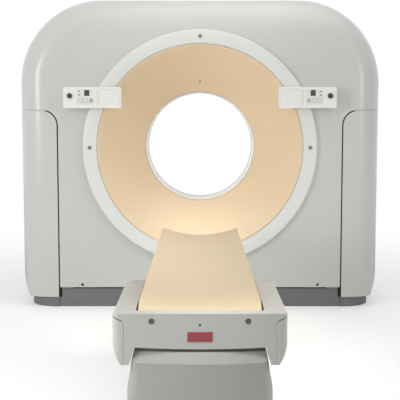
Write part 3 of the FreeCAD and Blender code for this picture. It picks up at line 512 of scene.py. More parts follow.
class Workshop:
    """Makes pieces, gives each its finish and hangs it on its body."""

    def __init__(self, paints: Paints) -> None:
        """Keeps all finishes."""
        self.paints = paints

    def finish_piece(self, piece: Piece, body: Body, slot: str,
            stands_for: Sequence[str] = ()) -> None:
        """Args:
            piece: The object, at the origin, in the scene.
            body: What it rides on.
            slot: Its finish.
            stands_for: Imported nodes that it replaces.
        """
        if piece.modifiers:
            baked = evaluated_mesh(piece)
            piece.modifiers.clear()
            piece.data = baked
        piece.data.materials.clear()
        piece.data.materials.append(self.paints.by_slot[slot])
        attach(piece, body.value)
        if stands_for:
            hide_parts(*stands_for)
        LOG.info("piece %s on %s, %d faces", piece.name, body.value, len(piece.data.polygons))

    def softened(self, node: str, body: Body, radius: float, segments: int = 3,
            angle: float = 30.0, reshape: Callable[[Vector], None] | None = None,
            cuts: Sequence[tuple[float, int]] = ()) -> None:
        """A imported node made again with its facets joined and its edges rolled.

        Args:
            node: Name of the node, which the piece replaces.
            body: What the piece rides on.
            radius: Radius of the rolled edges in metres.
            segments: Faces across an edge.
            angle: Edges sharper than this, in degrees, are rolled.
            reshape: Moves a point of the copy, if given.
            cuts: Where the copy gets more points for that, and along which axis.
        """
        bm = bmesh.new()
        bm.from_mesh(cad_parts[node].data)
        bmesh.ops.remove_doubles(bm, verts=bm.verts, dist=WELD)
        bmesh.ops.dissolve_limit(bm, angle_limit=math.radians(FLAT_ANGLE), verts=bm.verts,
            edges=bm.edges)
        for cut, axis in cuts:
            normal = Vector((0, 0, 0))
            normal[axis] = 1
            bmesh.ops.bisect_plane(bm, geom=[*bm.verts, *bm.edges, *bm.faces],
                plane_co=normal * cut, plane_no=normal)
        if reshape:
            for corner in bm.verts:
                reshape(corner.co)
        piece = link_mesh(f"{node}_shell", bm, angle)
        round_edges(piece, radius, segments, angle)
        self.finish_piece(piece, body, self.paints.slots[node], (node,))

    def turn(self, name: str, profile: Sequence[Point], slot: str,
            stands_for: Sequence[str] = (), steps: int = 192,
            centre: Point = (0.0, AXIS_HEIGHT), tilt: Matrix | None = None) -> None:
        """A closed profile turned about an axis that runs front to back, on the gantry.

        Args:
            name: Name of the piece.
            profile: Points (y, radius) round the section.
            slot: Its finish.
            stands_for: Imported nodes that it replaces.
            steps: Faces round the axis.
            centre: Place of the axis across and up, the bore's unless given.
            tilt: Moves the piece afterwards, if given.
        """
        bm = bmesh.new()
        rings = []
        for step in range(steps):
            turn = math.tau * step / steps
            rings.append([bm.verts.new((centre[0] + r * math.sin(turn), y,
                centre[1] + r * math.cos(turn))) for y, r in profile])
        stitch(bm, rings + rings[:1], False)
        piece = link_mesh(name, bm)
        if tilt is not None:
            piece.data.transform(tilt)
        self.finish_piece(piece, Body.GANTRY, slot, stands_for)


class Repeats:
    """Geometry Nodes trees for what repeats: fasteners at given places and rows of keys."""

    corner_steps = 4
    head_steps = 24
    chamfer = 0.12
    recess = 0.6

    def __init__(self, shop: Workshop) -> None:
        """Builds both trees.

        Args:
            shop: The workshop that finishes what the trees make.
        """
        self.shop = shop
        self.fasteners = self.fastener_tree()
        self.keys = self.key_tree()

    def fastener_tree(self) -> Tree:
        """Puts one head at each point of a mesh.

        Returns:
            The tree.
        """
        graph, given, result = open_group(
            "fasteners_at_points", {"Points": SHAPE, "Head": "NodeSocketObject",
            "Finish": "NodeSocketMaterial"}, {"Geometry": SHAPE}, "GeometryNodeTree")
        head = graph.add("GeometryNodeObjectInfo", {"Object": given["Head"]})
        return self.close(graph, given, result, {
            "Points": given["Points"], "Instance": head.outputs["Geometry"]})

    def key_tree(self) -> Tree:
        """A row of outlined keys that face the front.

        Returns:
            The tree.
        """
        graph, given, result = open_group(
            "row_of_keys", {"Count": "NodeSocketInt", "Pitch": "NodeSocketVector",
            "Width": NUMBER, "Height": NUMBER, "Corner": NUMBER, "Rim": NUMBER,
            "Finish": "NodeSocketMaterial"}, {"Geometry": SHAPE}, "GeometryNodeTree")
        line = graph.add("GeometryNodeMeshLine", {"Count": given["Count"],
            "Offset": given["Pitch"]})
        edge, rim = [graph.add("GeometryNodeCurvePrimitiveQuadrilateral",
            {"Width": given[width], "Height": given[height]})
            for width, height in (("Width", "Height"), ("Rim", "Rim"))]
        bent = graph.add("GeometryNodeFilletCurve", {
            "Curve": edge.outputs[0], "Count": self.corner_steps, "Radius": given["Corner"]},
            mode="POLY")
        outline = graph.add("GeometryNodeCurveToMesh", {"Curve": bent.outputs[0],
            "Profile Curve": rim.outputs[0]})
        upright = graph.add("GeometryNodeTransform", {
            "Geometry": outline.outputs[0], "Rotation": (math.pi / 2, 0.0, 0.0)})
        return self.close(graph, given, result, {"Points": line.outputs[0],
            "Instance": upright.outputs[0]})

    def close(self, graph: Graph, given: Any, result: Any, inputs: dict[str, Any]) -> Tree:
        """Ends a tree: real copies at its points, with their finish.

        Args:
            graph: The tree's graph.
            given: The sockets that bring its inputs, with its Finish.
            result: The sockets that take its results.
            inputs: What is copied, and where to.

        Returns:
            The tree.
        """
        copies = graph.add("GeometryNodeInstanceOnPoints", inputs)
        real = graph.add("GeometryNodeRealizeInstances", {"Geometry": copies.outputs["Instances"]})
        dressed = graph.add("GeometryNodeSetMaterial", {"Geometry": real.outputs[0],
            "Material": given["Finish"]})
        graph.tree.links.new(dressed.outputs[0], result["Geometry"])
        return graph.tree

    def grow(self, name: str, tree: Tree, points: Sequence[Sequence[float]], slot: str,
            **inputs: Any) -> Piece:
        """Runs a tree and returns its result as a plain mesh object.

        Args:
            name: Name of the piece.
            tree: The tree to run.
            points: Points that the tree starts from.
            slot: The finish.
            **inputs: The tree's other inputs, by name.

        Returns:
            The new object.
        """
        seed = bpy.data.meshes.new(f"{name}_points")
        seed.from_pydata([tuple(point) for point in points], [], [])
        holder = link_object(f"{name}_holder", seed)
        nodes = holder.modifiers.new("repeat", "NODES")
        nodes.node_group = tree
        inputs["Finish"] = self.shop.paints.by_slot[slot]
        for item in tree.interface.items_tree:
            if item.in_out == "INPUT" and item.name in inputs:
                nodes[item.identifier] = inputs[item.name]
        mesh = evaluated_mesh(holder)
        bpy.data.objects.remove(holder)
        return link_object(name, mesh)

    def heads(self, name: str, node: str, body: Body, slot: str, flats: int, reach: float) -> None:
        """Round heads with a recess for their key, on both solids of a node.

        Args:
            name: Name of the piece.
            node: The node, which the piece replaces.
            body: What it rides on.
            slot: Its finish.
            flats: Flats of the recess.
            reach: Half width of the recess across its flats.
        """
        low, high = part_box(node)
        radius, depth = (high[2] - low[2]) / 2, high[1] - low[1]
        chamfer, span = radius * self.chamfer, math.tau / flats
        bm = bmesh.new()
        rings = []
        for y, rim in ((depth, radius), (chamfer, radius), (0.0, radius - chamfer), (0.0, None),
                (depth * self.recess, None)):
            turns = [math.tau * step / self.head_steps for step in range(self.head_steps)]
            reaches = [rim or reach / math.cos(turn % span - span / 2) for turn in turns]
            rings.append([bm.verts.new((r * math.cos(turn), y, r * math.sin(turn)))
                for r, turn in zip(reaches, turns)])
        stitch(bm, rings)
        head = link_mesh(f"{node}_head", bm)
        across, height = high[0] - radius, low[2] + radius
        piece = self.grow(name, self.fasteners, [(-across, low[1], height),
            (across, low[1], height)], slot, Head=head)
        bpy.data.objects.remove(head)
        self.shop.finish_piece(piece, body, slot, (node,))


# ------------------------------------------------------------------ the gantry

@dataclass
class GantryShell:
    """The lacquered covers of the gantry, the seals behind their seams, whose dark ones are
    painted shade in the gaps, and the skirting.
    """

    shop: Workshop
    repeats: Repeats
    seam_roll: float = 2.5 * MM
    skirt_roll: float = 2 * MM
    wall: float = 8 * MM
    seal_half: float = 14 * MM
    seal_thick: float = 3 * MM
    level_half: float = 3.9 * MM
    edge_round: float = 180 * MM
    shoulder: float = 512 * MM
    seam_corner: float = 90 * MM
    seam_steps: int = 12
    crown_steps: int = 16
    lock_reach: float = 3 * MM

    def strap(self, name: str, path: Sequence[Vector], sides: Sequence[Vector],
            slot: str = "lock_dark", half: float = 0.0) -> None:
        """A flat seal laid along a seam, dark by default: painted shade in the seam's gap.

        Args:
            name: Name of the piece.
            path: Points along the middle of the strap.
            sides: Direction across the strap at each point.
            slot: Its finish.
            half: Half its width, where it fills the seam and doesn't lie behind it.
        """
        bm = bmesh.new()
        reach = half or self.seal_half
        rows = [[bm.verts.new(point + side * (way * reach)) for way in (-1, 0, 1)]
            for point, side in zip(path, sides)]
        for here, following in zip(rows, rows[1:]):
            for i in (0, 1):
                bm.faces.new((here[i], here[i + 1], following[i + 1], following[i]))
        bmesh.ops.recalc_face_normals(bm, faces=bm.faces)
        piece = link_mesh(name, bm, 50.0)
        wall = piece.modifiers.new("seal_wall", "SOLIDIFY")
        wall.thickness = self.seal_thick
        wall.offset = 0.0
        self.shop.finish_piece(piece, Body.GANTRY, slot)

    def plan_path(self, half: float, depth: float, start: float) -> list[Point]:
        """Path just inside one side of the gantry seen from above, from front to rear.

        Args:
            half: Half width of the gantry.
            depth: Half its depth.
            start: Distance from the middle where the path begins.

        Returns:
            Points (x, y).
        """
        radius = self.edge_round - self.seal_thick
        middle_x, middle_y = half - self.edge_round, depth - self.edge_round
        points = [(start, -depth + self.seal_thick)]
        points += [(middle_x + radius * math.sin(a), -middle_y - radius * math.cos(a))
            for a in quarter(self.seam_steps)]
        return points + [(x, -y) for x, y in reversed(points)]

    def side_seals_and_seam_shade(self, side: str, sign: int) -> None:
        """Seals behind the seams of one side cover: the level one in the cover's colour, the
        upright ones dark as painted shade in their gaps.

        Args:
            side: Name of the side.
            sign: 1 on the right, -1 on the left.
        """
        low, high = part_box("right_side_cover")
        gap = self.wall / 2
        seam_x, seam_z = low[0] - gap, high[2] + gap
        depth = (high[1] - low[1]) / 2
        level = self.plan_path(high[0], depth, seam_x + self.seam_corner)
        self.strap(f"{side}_level_seal", [Vector((sign * x, y, seam_z)) for x, y in level],
            [Vector((0, 0, 1))] * len(level), "cover_light_grey", self.level_half)
        for face, way in FACES:
            y = way * (depth - self.wall - self.seal_thick)
            path, across = [Vector((sign * seam_x, y, low[2]))], [Vector((1, 0, 0))]
            centre = Vector((sign * (seam_x + self.seam_corner), y, seam_z - self.seam_corner))
            for turn in quarter(self.seam_steps):
                out = Vector((-sign * math.cos(turn), 0, math.sin(turn)))
                path.append(centre + out * self.seam_corner)
                across.append(out * -sign)
            # The upright seals keep the strap's dark lock_dark finish: painted shade in the seam
            # gaps.
            self.strap(f"{side}_{face}_seal", path, across)

    def crown_seal(self) -> None:
        """Seal behind the seam where the front and rear covers meet over the top."""
        low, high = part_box("front_cover")
        inset = self.wall + self.seal_thick
        radius = self.shoulder - inset
        centre_x, centre_z = high[0] - self.shoulder, high[2] - self.shoulder
        right = [(high[0] - inset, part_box("right_side_cover")[1][2])]
        right += [(centre_x + radius * math.cos(a), centre_z + radius * math.sin(a))
            for a in quarter(self.crown_steps)]
        path = right + [(-x, z) for x, z in reversed(right)]
        middle = high[1] + self.wall / 2 if high[1] < 0 else 0.0
        self.strap("crown_seal", [Vector((x, middle, z)) for x, z in path],
            [Vector((0, 1, 0))] * len(path), "plug_grey")

    def build(self) -> None:
        """Makes the covers, seals (the dark ones as painted shade in the seams), locks and
        skirting.
        """
        for place in ("front", "rear", "left_side", "right_side"):
            self.shop.softened(f"{place}_cover", Body.GANTRY, self.seam_roll, 3, 40.0)
        for place in ("front", "rear", "left", "right"):
            self.shop.softened(f"{place}_plinth", Body.GANTRY, self.skirt_roll, 2)
        for side, sign in SIDES:
            self.side_seals_and_seam_shade(side, sign)
        self.crown_seal()
        self.repeats.heads("cover_lock_heads", "cover_locks", Body.GANTRY, "lock_dark", 4,
            self.lock_reach)


@dataclass
class BoreRings:
    """The white ring, the beige funnel behind it and the liner of the bore."""

    shop: Workshop
    ring_inner: float = 632 * MM
    ring_edge: float = 11 * MM
    ring_dish: float = 11 * MM
    lip: float = 5 * MM
    mouth: float = 624 * MM
    narrow: float = 350 * MM
    funnel_wall: float = 6 * MM
    throat: float = 158.5 * MM
    liner_wall: float = 4 * MM
    groove: float = 1 * MM
    groove_half: float = 40 * MM
    gasket: float = 3.6 * MM
    gasket_round: float = 0.8
    window: float = 12.5 * MM
    window_depth: float = 1 * MM
    pupil: float = 4.5 * MM
    pupil_peak: float = 1 * MM
    pupil_rise: float = 0.6 * MM
    pinhole: float = 0.2 * MM
    seat_rise: float = 0.8 * MM
    bezel: float = 3 * MM
    bezel_rise: float = 1.6 * MM
    bezel_round: float = 0.8 * MM
    clearance: float = 0.1 * MM
    lens_rise: float = 1.2 * MM

    def ring(self, node: str, way: int) -> None:
        """Makes one white ring.

        Args:
            node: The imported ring.
            way: -1 at the front, 1 at the rear.
        """
        low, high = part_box(node)
        outer = (high[0] - low[0]) / 2
        seat, top = (high[1], low[1]) if way < 0 else (low[1], high[1])
        corners = [(seat, self.ring_inner), (seat, outer), (top, outer),
            (top - way * self.ring_dish, self.ring_inner)]
        self.shop.turn(f"{node}_turned", rounded(corners, (0, 0, self.ring_edge, self.lip), 6),
            "ring_white", (node,), 240)

    def funnel(self, node: str, way: int) -> None:
        """Makes one smooth funnel.

        Args:
            node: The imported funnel.
            way: -1 at the front, 1 at the rear.
        """
        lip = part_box(node)[0 if way < 0 else 1][1]
        end, wall = way * self.throat, self.funnel_wall
        self.shop.turn(f"{node}_turned", [(end, self.narrow), (lip, self.mouth),
            (lip, self.mouth + wall), (end, self.narrow + wall)], "funnel_beige", (node,))

    def liner(self) -> None:
        """Makes the white liner with the shallow groove of its scan window, and its gaskets."""
        low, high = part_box("bore_liner")
        half, inner = self.groove_half, self.narrow
        outer, deep = inner + self.liner_wall, inner + self.groove
        self.shop.turn("bore_liner_turned", [
            (low[1], inner), (-half, inner), (-half, deep), (half, deep), (half, inner),
            (high[1], inner), (high[1], outer), (low[1], outer)], "liner_white", ("bore_liner",))
        size, stand = self.gasket, self.gasket / 2
        for side, way in FACES:
            y = low[1] if way < 0 else high[1]
            lip = rounded([(y + way * stand, inner - stand), (y + way * stand, inner + stand),
                (y - way * size, inner + stand), (y - way * size, inner - stand)],
                (stand * self.gasket_round, 0, 0, stand * self.gasket_round), 4)
            self.shop.turn(f"{side}_bore_gasket", lip, "plug_grey")

    def laser_windows(self) -> None:
        """Dark lenses in grey seats and thin white bezels, square to the dished front ring."""
        low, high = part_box("laser_windows")
        orbit = high[0] - self.window
        ring_low, ring_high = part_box("front_ring")
        outer = (ring_high[0] - ring_low[0]) / 2
        slope = self.ring_dish / (outer - self.ring_inner)
        face = ring_low[1] + slope * (outer - orbit)
        back, seam, hole = face + self.window_depth, self.clearance, self.pinhole
        lens = [(back, hole), (face - self.pupil_peak, hole),
            (face - self.pupil_rise, self.pupil), (back, self.pupil)]
        seat = [(back, self.pupil + seam), (face - self.seat_rise, self.pupil + seam),
            (face - self.seat_rise, self.window), (back, self.window)]
        front, rim = face - self.bezel_rise, self.window + self.bezel
        edge = rounded([(back, self.window + seam), (front, self.window + seam), (front, rim),
            (back, rim)], (0, self.bezel_round, self.bezel_round, 0))
        for side, x, z in (("top", 0.0, orbit), ("left", -orbit, 0.0), ("right", orbit, 0.0)):
            hub = Vector((x, face, AXIS_HEIGHT + z))
            lean = Matrix.Rotation(math.atan(slope), 4, Vector((0, 1, 0)).cross((x, 0, z)))
            tilt = Matrix.Translation(hub) @ lean @ Matrix.Translation(-hub)
            for name, profile, slot in (("lens", lens, "optic_dark"), ("seat", seat, "plug_grey"),
                    ("bezel", edge, "ring_white")):
                stands_for = ("laser_windows",) if (side, name) == ("top", "lens") else ()
                self.shop.turn(f"{side}_laser_{name}", profile, slot, stands_for, 40,
                    (x, AXIS_HEIGHT + z), tilt)

    def lift_lens(self, point: Vector) -> None:
        """Brings the lens over the beam clear of the smooth funnel round it.

        Args:
            point: A point of the lens, moved square to the funnel.
        """
        low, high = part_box("front_funnel")
        square = Vector((0, self.mouth - self.narrow, high[1] - low[1]))
        point -= square.normalized() * self.lens_rise

    def build(self) -> None:
        """Makes the rings, funnels and liner."""
        for side, way in FACES:
            self.ring(f"{side}_ring", way)
        for side, way in FACES:
            self.funnel(f"{side}_funnel", way)
        self.liner()
        self.laser_windows()
        self.shop.softened("beam_window", Body.GANTRY, 0.5 * MM, 2, reshape=self.lift_lens)


@dataclass
class OperatingPanels:
    """The two control panels that bridge the ring and the cover."""

    shop: Workshop
    repeats: Repeats
    edge_roll: float = 5 * MM
    display_size: Point = (31 * MM, 36 * MM)
    display_place: Point = (0.4, 0.76)
    display_thick: float = 1.6 * MM
    key_width: float = 23 * MM
    key_height: float = 24 * MM
    key_pitch: float = 32 * MM
    key_rim: float = 1.6 * MM
    key_start: float = 0.72
    key_level: float = 0.27
    key_thick: float = 1 * MM
    key_corner: float = 1.5 * MM
    corner: float = 3 * MM
    small_key: float = 13 * MM
    small_place: float = 0.84
    small_levels: Point = (0.62, 0.86)
    mark_share: float = 0.7
    small_share: float = 0.6
    groove_shade_out: float = 21 * MM
    groove_shade_width: float = 2.2 * MM
    groove_shade_share: float = 0.74
    groove_shade_thick: float = 0.8 * MM
    groove_shade_rise: float = 0.3 * MM
    roll_share: float = 0.3
    collar_gap: float = 1 * MM
    collar_width: float = 4 * MM
    collar_seat: float = 0.5 * MM
    collar_rise: float = 2 * MM
    collar_rounds: Point = (1 * MM, 1.5 * MM)

    def slab(self, name: str, centre: Point, size: Point, front: float, depth: float,
            corner: float, slot: str) -> None:
        """A thin rounded plate that faces the front.

        Args:
            name: Name of the piece.
            centre: Its middle across and up.
            size: Its width and height.
            front: Where its face lies.
            depth: Its thickness.
            corner: Radius of its corners.
            slot: Its finish.
        """
        half_w, half_h = size[0] / 2, size[1] / 2
        outline = rounded([(-half_w, -half_h), (half_w, -half_h), (half_w, half_h),
            (-half_w, half_h)], (corner,) * 4)
        bm = bmesh.new()
        face = bm.faces.new([bm.verts.new((centre[0] + x, front, centre[1] + z))
            for x, z in outline])
        grown = bmesh.ops.extrude_face_region(bm, geom=[face])
        bmesh.ops.translate(bm, vec=(0, depth, 0),
            verts=[v for v in grown["geom"] if isinstance(v, bmesh.types.BMVert)])
        bmesh.ops.recalc_face_normals(bm, faces=bm.faces)
        piece = link_mesh(name, bm)
        round_edges(piece, min(depth, corner) * self.roll_share, 2)
        self.shop.finish_piece(piece, Body.GANTRY, slot)

    def panel(self, side: str, sign: int) -> None:
        """Dresses one panel with its display, keys and a grey strip painted as the shade of a
        groove.

        Args:
            side: Name of the side.
            sign: 1 on the right, -1 on the left.
        """
        low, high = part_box(f"{side}_panel_keypad")
        inner = min(abs(low[0]), abs(high[0]))
        width, height, face = high[0] - low[0], high[2] - low[2], low[1]

        def key(name: str, across: float, level: float, size: Point, slot: str,
                thick: float = self.key_thick, corner: float = self.key_corner) -> None:
            """Sets a plate half into the keypad, at a share of the keypad's height."""
            self.slab(f"{side}_{name}", (sign * (inner + across), low[2] + height * level), size,
                face - thick / 2, thick, corner, slot)

        key("display", width * self.display_place[0], self.display_place[1], self.display_size,
            "optic_dark", self.display_thick, self.corner)
        row = self.repeats.grow(
            f"{side}_key_frames", self.repeats.keys, [], "button_dark", Count=3,
            Pitch=(sign * self.key_pitch, 0.0, 0.0), Width=self.key_width,
            Height=self.key_height, Corner=self.corner, Rim=self.key_rim)
        start = self.key_width * self.key_start
        row.data.transform(Matrix.Translation((sign * (inner + start), face,
            low[2] + height * self.key_level)))
        self.shop.finish_piece(row, Body.GANTRY, "unit_metal")
        key("key_mark", start, self.key_level,
            (self.small_key * self.mark_share, self.small_key), "button_dark")
        for i, level in enumerate(self.small_levels):
            key(f"small_key_{i + 1}", width * self.small_place, level,
                (self.small_key, self.small_key * self.small_share), "plug_grey")
        # A thin grey strip on the housing's face stands for a groove: painted shade, not a cut.
        low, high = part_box(f"{side}_panel_housing")
        self.slab(f"{side}_panel_groove",
            (sign * (inner - self.groove_shade_out), (low[2] + high[2]) / 2),
            (self.groove_shade_width, (high[2] - low[2]) * self.groove_shade_share),
            low[1] - self.groove_shade_rise, self.groove_shade_thick, self.groove_shade_thick, "plug_grey")

    def collar(self, side: str) -> None:
        """The ring round a stop button.

        Args:
            side: Name of the side.
        """
        low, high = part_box(f"{side}_stop_button")
        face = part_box(f"{side}_panel_housing")[0][1]
        back, front = face + self.collar_seat, face - self.collar_rise
        inner = (high[0] - low[0]) / 2 + self.collar_gap
        outer = inner + self.collar_width
        self.shop.turn(f"{side}_button_collar", rounded(
            [(back, inner), (front, inner), (front, outer), (back, outer)],
            (0, *self.collar_rounds, 0), 4), "panel_white", (), 48,
            ((low[0] + high[0]) / 2, (low[2] + high[2]) / 2))

    def build(self) -> None:
        """Makes both panels."""
        soft = self.shop.softened
        for (side, sign), stop in zip(SIDES, (Body.LEFT_STOP, Body.RIGHT_STOP)):
            soft(f"{side}_panel_housing", Body.GANTRY, self.edge_roll, 4)
            soft(f"{side}_panel_plate", Body.GANTRY, 0.8 * MM, 2)
            soft(f"{side}_panel_keypad", Body.GANTRY, 0.4 * MM, 2)
            soft(f"{side}_stop_button", stop, 3 * MM, 4)
            self.panel(side, sign)
            self.collar(side)


# ------------------------------------------------------------------ the patient table

@dataclass
class PatientTop:
    """The shallow beige trough that carries the patient."""

    shop: Workshop
    rim: float = 18 * MM
    dip: float = 42 * MM
    flat_half: float = 80 * MM
    corner: float = 14 * MM
    across: int = 40
    along: int = 10
    edge_roll: float = 5 * MM
    nose_drop: float = 22 * MM
    nose_length: float = 110 * MM

    def section(self, half: float, full: float, edge: float, under: float,
            dip: float) -> list[Point]:
        """Section of the trough, cut to a half width.

        Args:
            half: Half width here.
            full: Half width of the whole trough.
            edge: Height of the rim.
            under: Height of the flat underside.
            dip: Depth of the trough here.

        Returns:
            Points (x, z) round the section.
        """
        radius = (full * full + self.dip * self.dip) / (2 * self.dip)
        points = []
        for i in range(self.across + 1):
            x = half * (1 - 2 * i / self.across)
            rise = (radius - math.sqrt(radius * radius - x * x)) / self.dip
            points.append((x, edge - dip * (1 - rise)))
        slope = (edge - self.rim - under) / (full - self.flat_half)
        return points + [(x, under + max(0.0, abs(x) - self.flat_half) * slope)
            for x in (-half, -self.flat_half, self.flat_half, half)]

    def build(self) -> None:
        """Makes the trough and dresses its runner."""
        low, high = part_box("tabletop")
        full, bend = (high[0] - low[0]) / 2, high[1] - self.corner
        places = [low[1] + self.nose_length * i / self.along for i in range(self.along + 1)]
        places += [high[1] - self.corner * (1 - math.sin(a)) for a in quarter(self.along)]
        bm = bmesh.new()
        rings = []
        for y in places:
            past = max(0.0, y - bend)
            half = full - self.corner + math.sqrt(max(0.0, self.corner ** 2 - past ** 2))
            level = ease((y - low[1]) / self.nose_length)
            edge = high[2] - self.nose_drop * (1 - level)
            rings.append([bm.verts.new((x, y, z)) for x, z in
                self.section(half, full, edge, low[2], self.dip * level)])
        stitch(bm, rings)
        piece = link_mesh("tabletop_trough", bm)
        round_edges(piece, self.edge_roll, 4, 40.0)
        self.shop.finish_piece(piece, Body.PATIENT, "tabletop_beige", ("tabletop",))
        self.shop.softened("tabletop_runner", Body.PATIENT, 3 * MM)


@dataclass
class TableCovers:
    """Housing at the foot end, its grips, and the stages and pedestal below."""

    shop: Workshop
    repeats: Repeats
    key_reach: float = 4 * MM
    flank_low: float = 290 * MM
    flank_half: float = 234 * MM
    crown_half: float = 208 * MM
    crown_full: float = 220 * MM
    front_depth: float = 50 * MM
    front_bow: float = 26 * MM
    front_strips: int = 10
    bulge: float = 0.041
    bulge_top: float = 350 * MM
    bulge_fall: float = 85 * MM
    bulge_strips: int = 6

    def swell(self, point: Vector) -> None:
        """Swells the flanks and the front of the pedestal, as its moulded skin bulges.

        Args:
            point: A point of the cover, moved.
        """
        low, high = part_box("pedestal_cover")
        if point.y < low[1] + self.front_depth:
            point.y += self.front_bow * (point.x / self.flank_half) ** 2
        bend = (max(0.0, point.z - self.flank_low) / (high[2] - self.flank_low)) ** 2
        lean, full_lean = self.flank_half - self.crown_half, self.flank_half - self.crown_full
        point.x *= (self.flank_half - full_lean * bend) / (self.flank_half - lean * bend)
        point.x *= 1 + self.bulge * ease((self.bulge_top - point.z) / self.bulge_fall)

    def build(self) -> None:
        """Makes the covers of the table."""
        self.repeats.heads("foot_screw_heads", "foot_screws", Body.TABLE, "plinth_grey", 6,
            self.key_reach)
        soft = self.shop.softened
        soft("foot_housing", Body.TABLE, 5 * MM, 4)
        for side, _ in SIDES:
            soft(f"{side}_grip", Body.TABLE, 9 * MM, 4)
        soft("notice_plate", Body.TABLE, 0.6 * MM, 2)
        soft("upper_sleeve", Body.TABLE, 3 * MM)
        soft("middle_sleeve", Body.MIDDLE, 2 * MM)
        strip = 2 * self.flank_half / self.front_strips
        cuts = [(strip * i - self.flank_half, 0) for i in range(1, self.front_strips)]
        cuts += [(self.bulge_top - self.bulge_fall * i / self.bulge_strips, 2)
            for i in range(self.bulge_strips + 1)]
        soft("pedestal_cover", Body.GANTRY, 6 * MM, 4, 25.0, self.swell, cuts)
        soft("table_base", Body.GANTRY, 1 * MM, 2, 25.0, self.swell, cuts)
        soft("carriage", Body.CARRIAGE, 1.5 * MM, 2)
        soft("table_frame", Body.TABLE, 1.5 * MM, 2)


# ------------------------------------------------------------------ stage, lamps and camera

@dataclass(frozen=True)
class SoftBox:
    """An area lamp.

    Attributes:
        place: Where it stands.
        aim: The point that it faces.
        size: Width and height in metres.
        watts: Its power.
        mirrored: Whether glossy surfaces show it.
        spread: Angle of the beam in degrees.
    """

    place: Place
    aim: Place
    size: Point
    watts: float
    mirrored: bool = True
    spread: float = 180.0


SOFT_BOXES = {
    "top_box": SoftBox((1.0, -1.5, 5.0), (0, -1.0, 0.6), (4.0, 4.0), 54),
    "crown_box": SoftBox((0.3, -3.6, 2.9), (0.05, -0.35, 2.05), (1.4, 0.2), 1.0, False, 20),
    "left_box": SoftBox((-4.2, -3.8, 1.92), (-0.4, -0.6, 1.5), (0.9, 1.65), 42),
    "left_fill": SoftBox((-4.2, -3.8, 2.5), (-0.4, -0.6, 1.5), (0.9, 3.4), 66, False),
    "right_box": SoftBox((3.9, -3.8, 1.72), (0.4, -0.6, 1.5), (0.7, 1.25), 14),
    "right_fill": SoftBox((3.9, -3.8, 2.2), (0.4, -0.6, 1.0), (0.7, 3.0), 19, False),
    "table_box": SoftBox((-1.15, -3.68, 0.9), (-0.1, -3.07, 0.35), (0.3, 0.3), 8, False),
    "trough_box": SoftBox((2.0, -1.95, 1.3), (0.0, -1.95, 0.5), (2.0, 0.2), 8, False, 70),
    "couch_box": SoftBox((0.4, -3.6, 2.8), (0, -3.08, 0.4), (0.3, 0.3), 0.6, False, 20),
    "bore_box": SoftBox((0.1, -1.3, 2.6), (0, -0.4, 0.46), (0.4, 0.2), 0.3, False, 22),
    "rear_box": SoftBox((0.0, 4.2, 1.6), (0, 0, 1.0), (2.6, 2.2), 34, False),
}


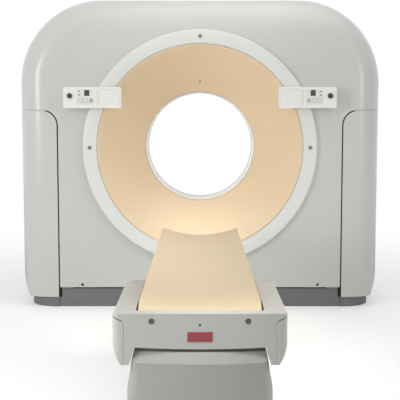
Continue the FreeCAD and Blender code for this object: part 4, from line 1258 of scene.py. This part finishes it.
@dataclass
class Studio:
    """Plain pale floor, soft lamps and the camera at the photograph's place."""

    eye: Place = (0.0, -5.96, 1.178)
    pitch: float = 5.3
    lens: float = 80.6
    floor_half: float = 30.0
    floor_tone: float = 0.8
    floor_gloss: float = 0.6
    fade_shift: float = 1.0
    fade_start: float = 1.6
    fade_end: float = 5.0
    ambient: float = 0.47
    floor_lift: float = 0.24

    def floor(self) -> None:
        """A wide pale floor that fades into the white backdrop."""
        bm = bmesh.new()
        bmesh.ops.create_grid(bm, x_segments=8, y_segments=8, size=self.floor_half)
        ground = link_mesh("studio_floor", bm)
        paint = bpy.data.materials.new("pale_floor")
        paint.use_nodes = True
        graph = Graph(paint.node_tree)
        moved = graph.add("ShaderNodeMapping", {"Vector": graph.place(),
            "Location": (0.0, self.fade_shift, 0.0)})
        away = graph.add("ShaderNodeVectorMath", {0: moved.outputs[0]}, operation="LENGTH")
        fade = graph.add("ShaderNodeMapRange", {
            "Value": away.outputs["Value"], "From Min": self.fade_start,
            "From Max": self.fade_end, "To Min": 1.0, "To Max": 0.0},
            interpolation_type="SMOOTHSTEP")
        lift = graph.maths("MULTIPLY", graph.add("ShaderNodeLightPath").outputs["Is Camera Ray"],
            self.floor_lift)
        graph.feed(paint.node_tree.nodes["Principled BSDF"], {
            "Base Color": (*(self.floor_tone,) * 3, 1.0), "Roughness": self.floor_gloss,
            "Alpha": fade.outputs[0], "Emission Color": WHITE, "Emission Strength": lift})
        ground.data.materials.append(paint)

    def world(self) -> None:
        """Even soft light that the camera and mirrors see as white."""
        world = bpy.data.worlds.new("soft_room")
        world.use_nodes = True
        graph = Graph(world.node_tree)
        path = graph.add("ShaderNodeLightPath").outputs
        seen = graph.maths("MAXIMUM", path["Is Camera Ray"], path["Is Glossy Ray"])
        seen = graph.maths("MAXIMUM", seen, path["Is Transmission Ray"])
        strength = graph.add("ShaderNodeMapRange", {"Value": seen, "To Min": self.ambient,
            "To Max": 1.0}).outputs[0]
        graph.feed(world.node_tree.nodes["Background"], {"Color": WHITE, "Strength": strength})
        bpy.context.scene.world = world

    def lamp(self, name: str, box: SoftBox) -> None:
        """Hangs one lamp.

        Args:
            name: Name of the lamp.
            box: What it is like and where it goes.
        """
        data = bpy.data.lights.new(name, "AREA")
        data.shape = "RECTANGLE"
        data.size, data.size_y = box.size
        data.energy = box.watts
        data.spread = math.radians(box.spread)
        lamp = link_object(name, data)
        lamp.location = box.place
        lamp.visible_camera = False
        lamp.visible_glossy = box.mirrored
        way = Vector(box.aim) - Vector(box.place)
        lamp.rotation_euler = way.to_track_quat("-Z", "Y").to_euler()

    def build(self) -> None:
        """Sets floor, lamps and camera."""
        self.floor()
        self.world()
        for name, box in SOFT_BOXES.items():
            self.lamp(name, box)
        data = bpy.data.cameras.new("studio_camera")
        data.lens = self.lens
        camera = link_object("studio_camera", data)
        camera.location = self.eye
        camera.rotation_euler = (math.radians(90 - self.pitch), 0, 0)
        bpy.context.scene.camera = camera
        bpy.context.scene.view_settings.view_transform = "Standard"


def main() -> None:
    """Builds the looks of the scanner from its classes."""
    logging.basicConfig(level=logging.INFO, format="%(message)s")
    paints = Paints()
    paints.dress_nodes()
    shop = Workshop(paints)
    repeats = Repeats(shop)
    for part in (GantryShell(shop, repeats), BoreRings(shop), OperatingPanels(shop, repeats),
            PatientTop(shop), TableCovers(shop, repeats)):
        LOG.info("building %s", type(part).__name__)
        part.build()
    Studio().build()


if __name__ == "__main__":
    main()
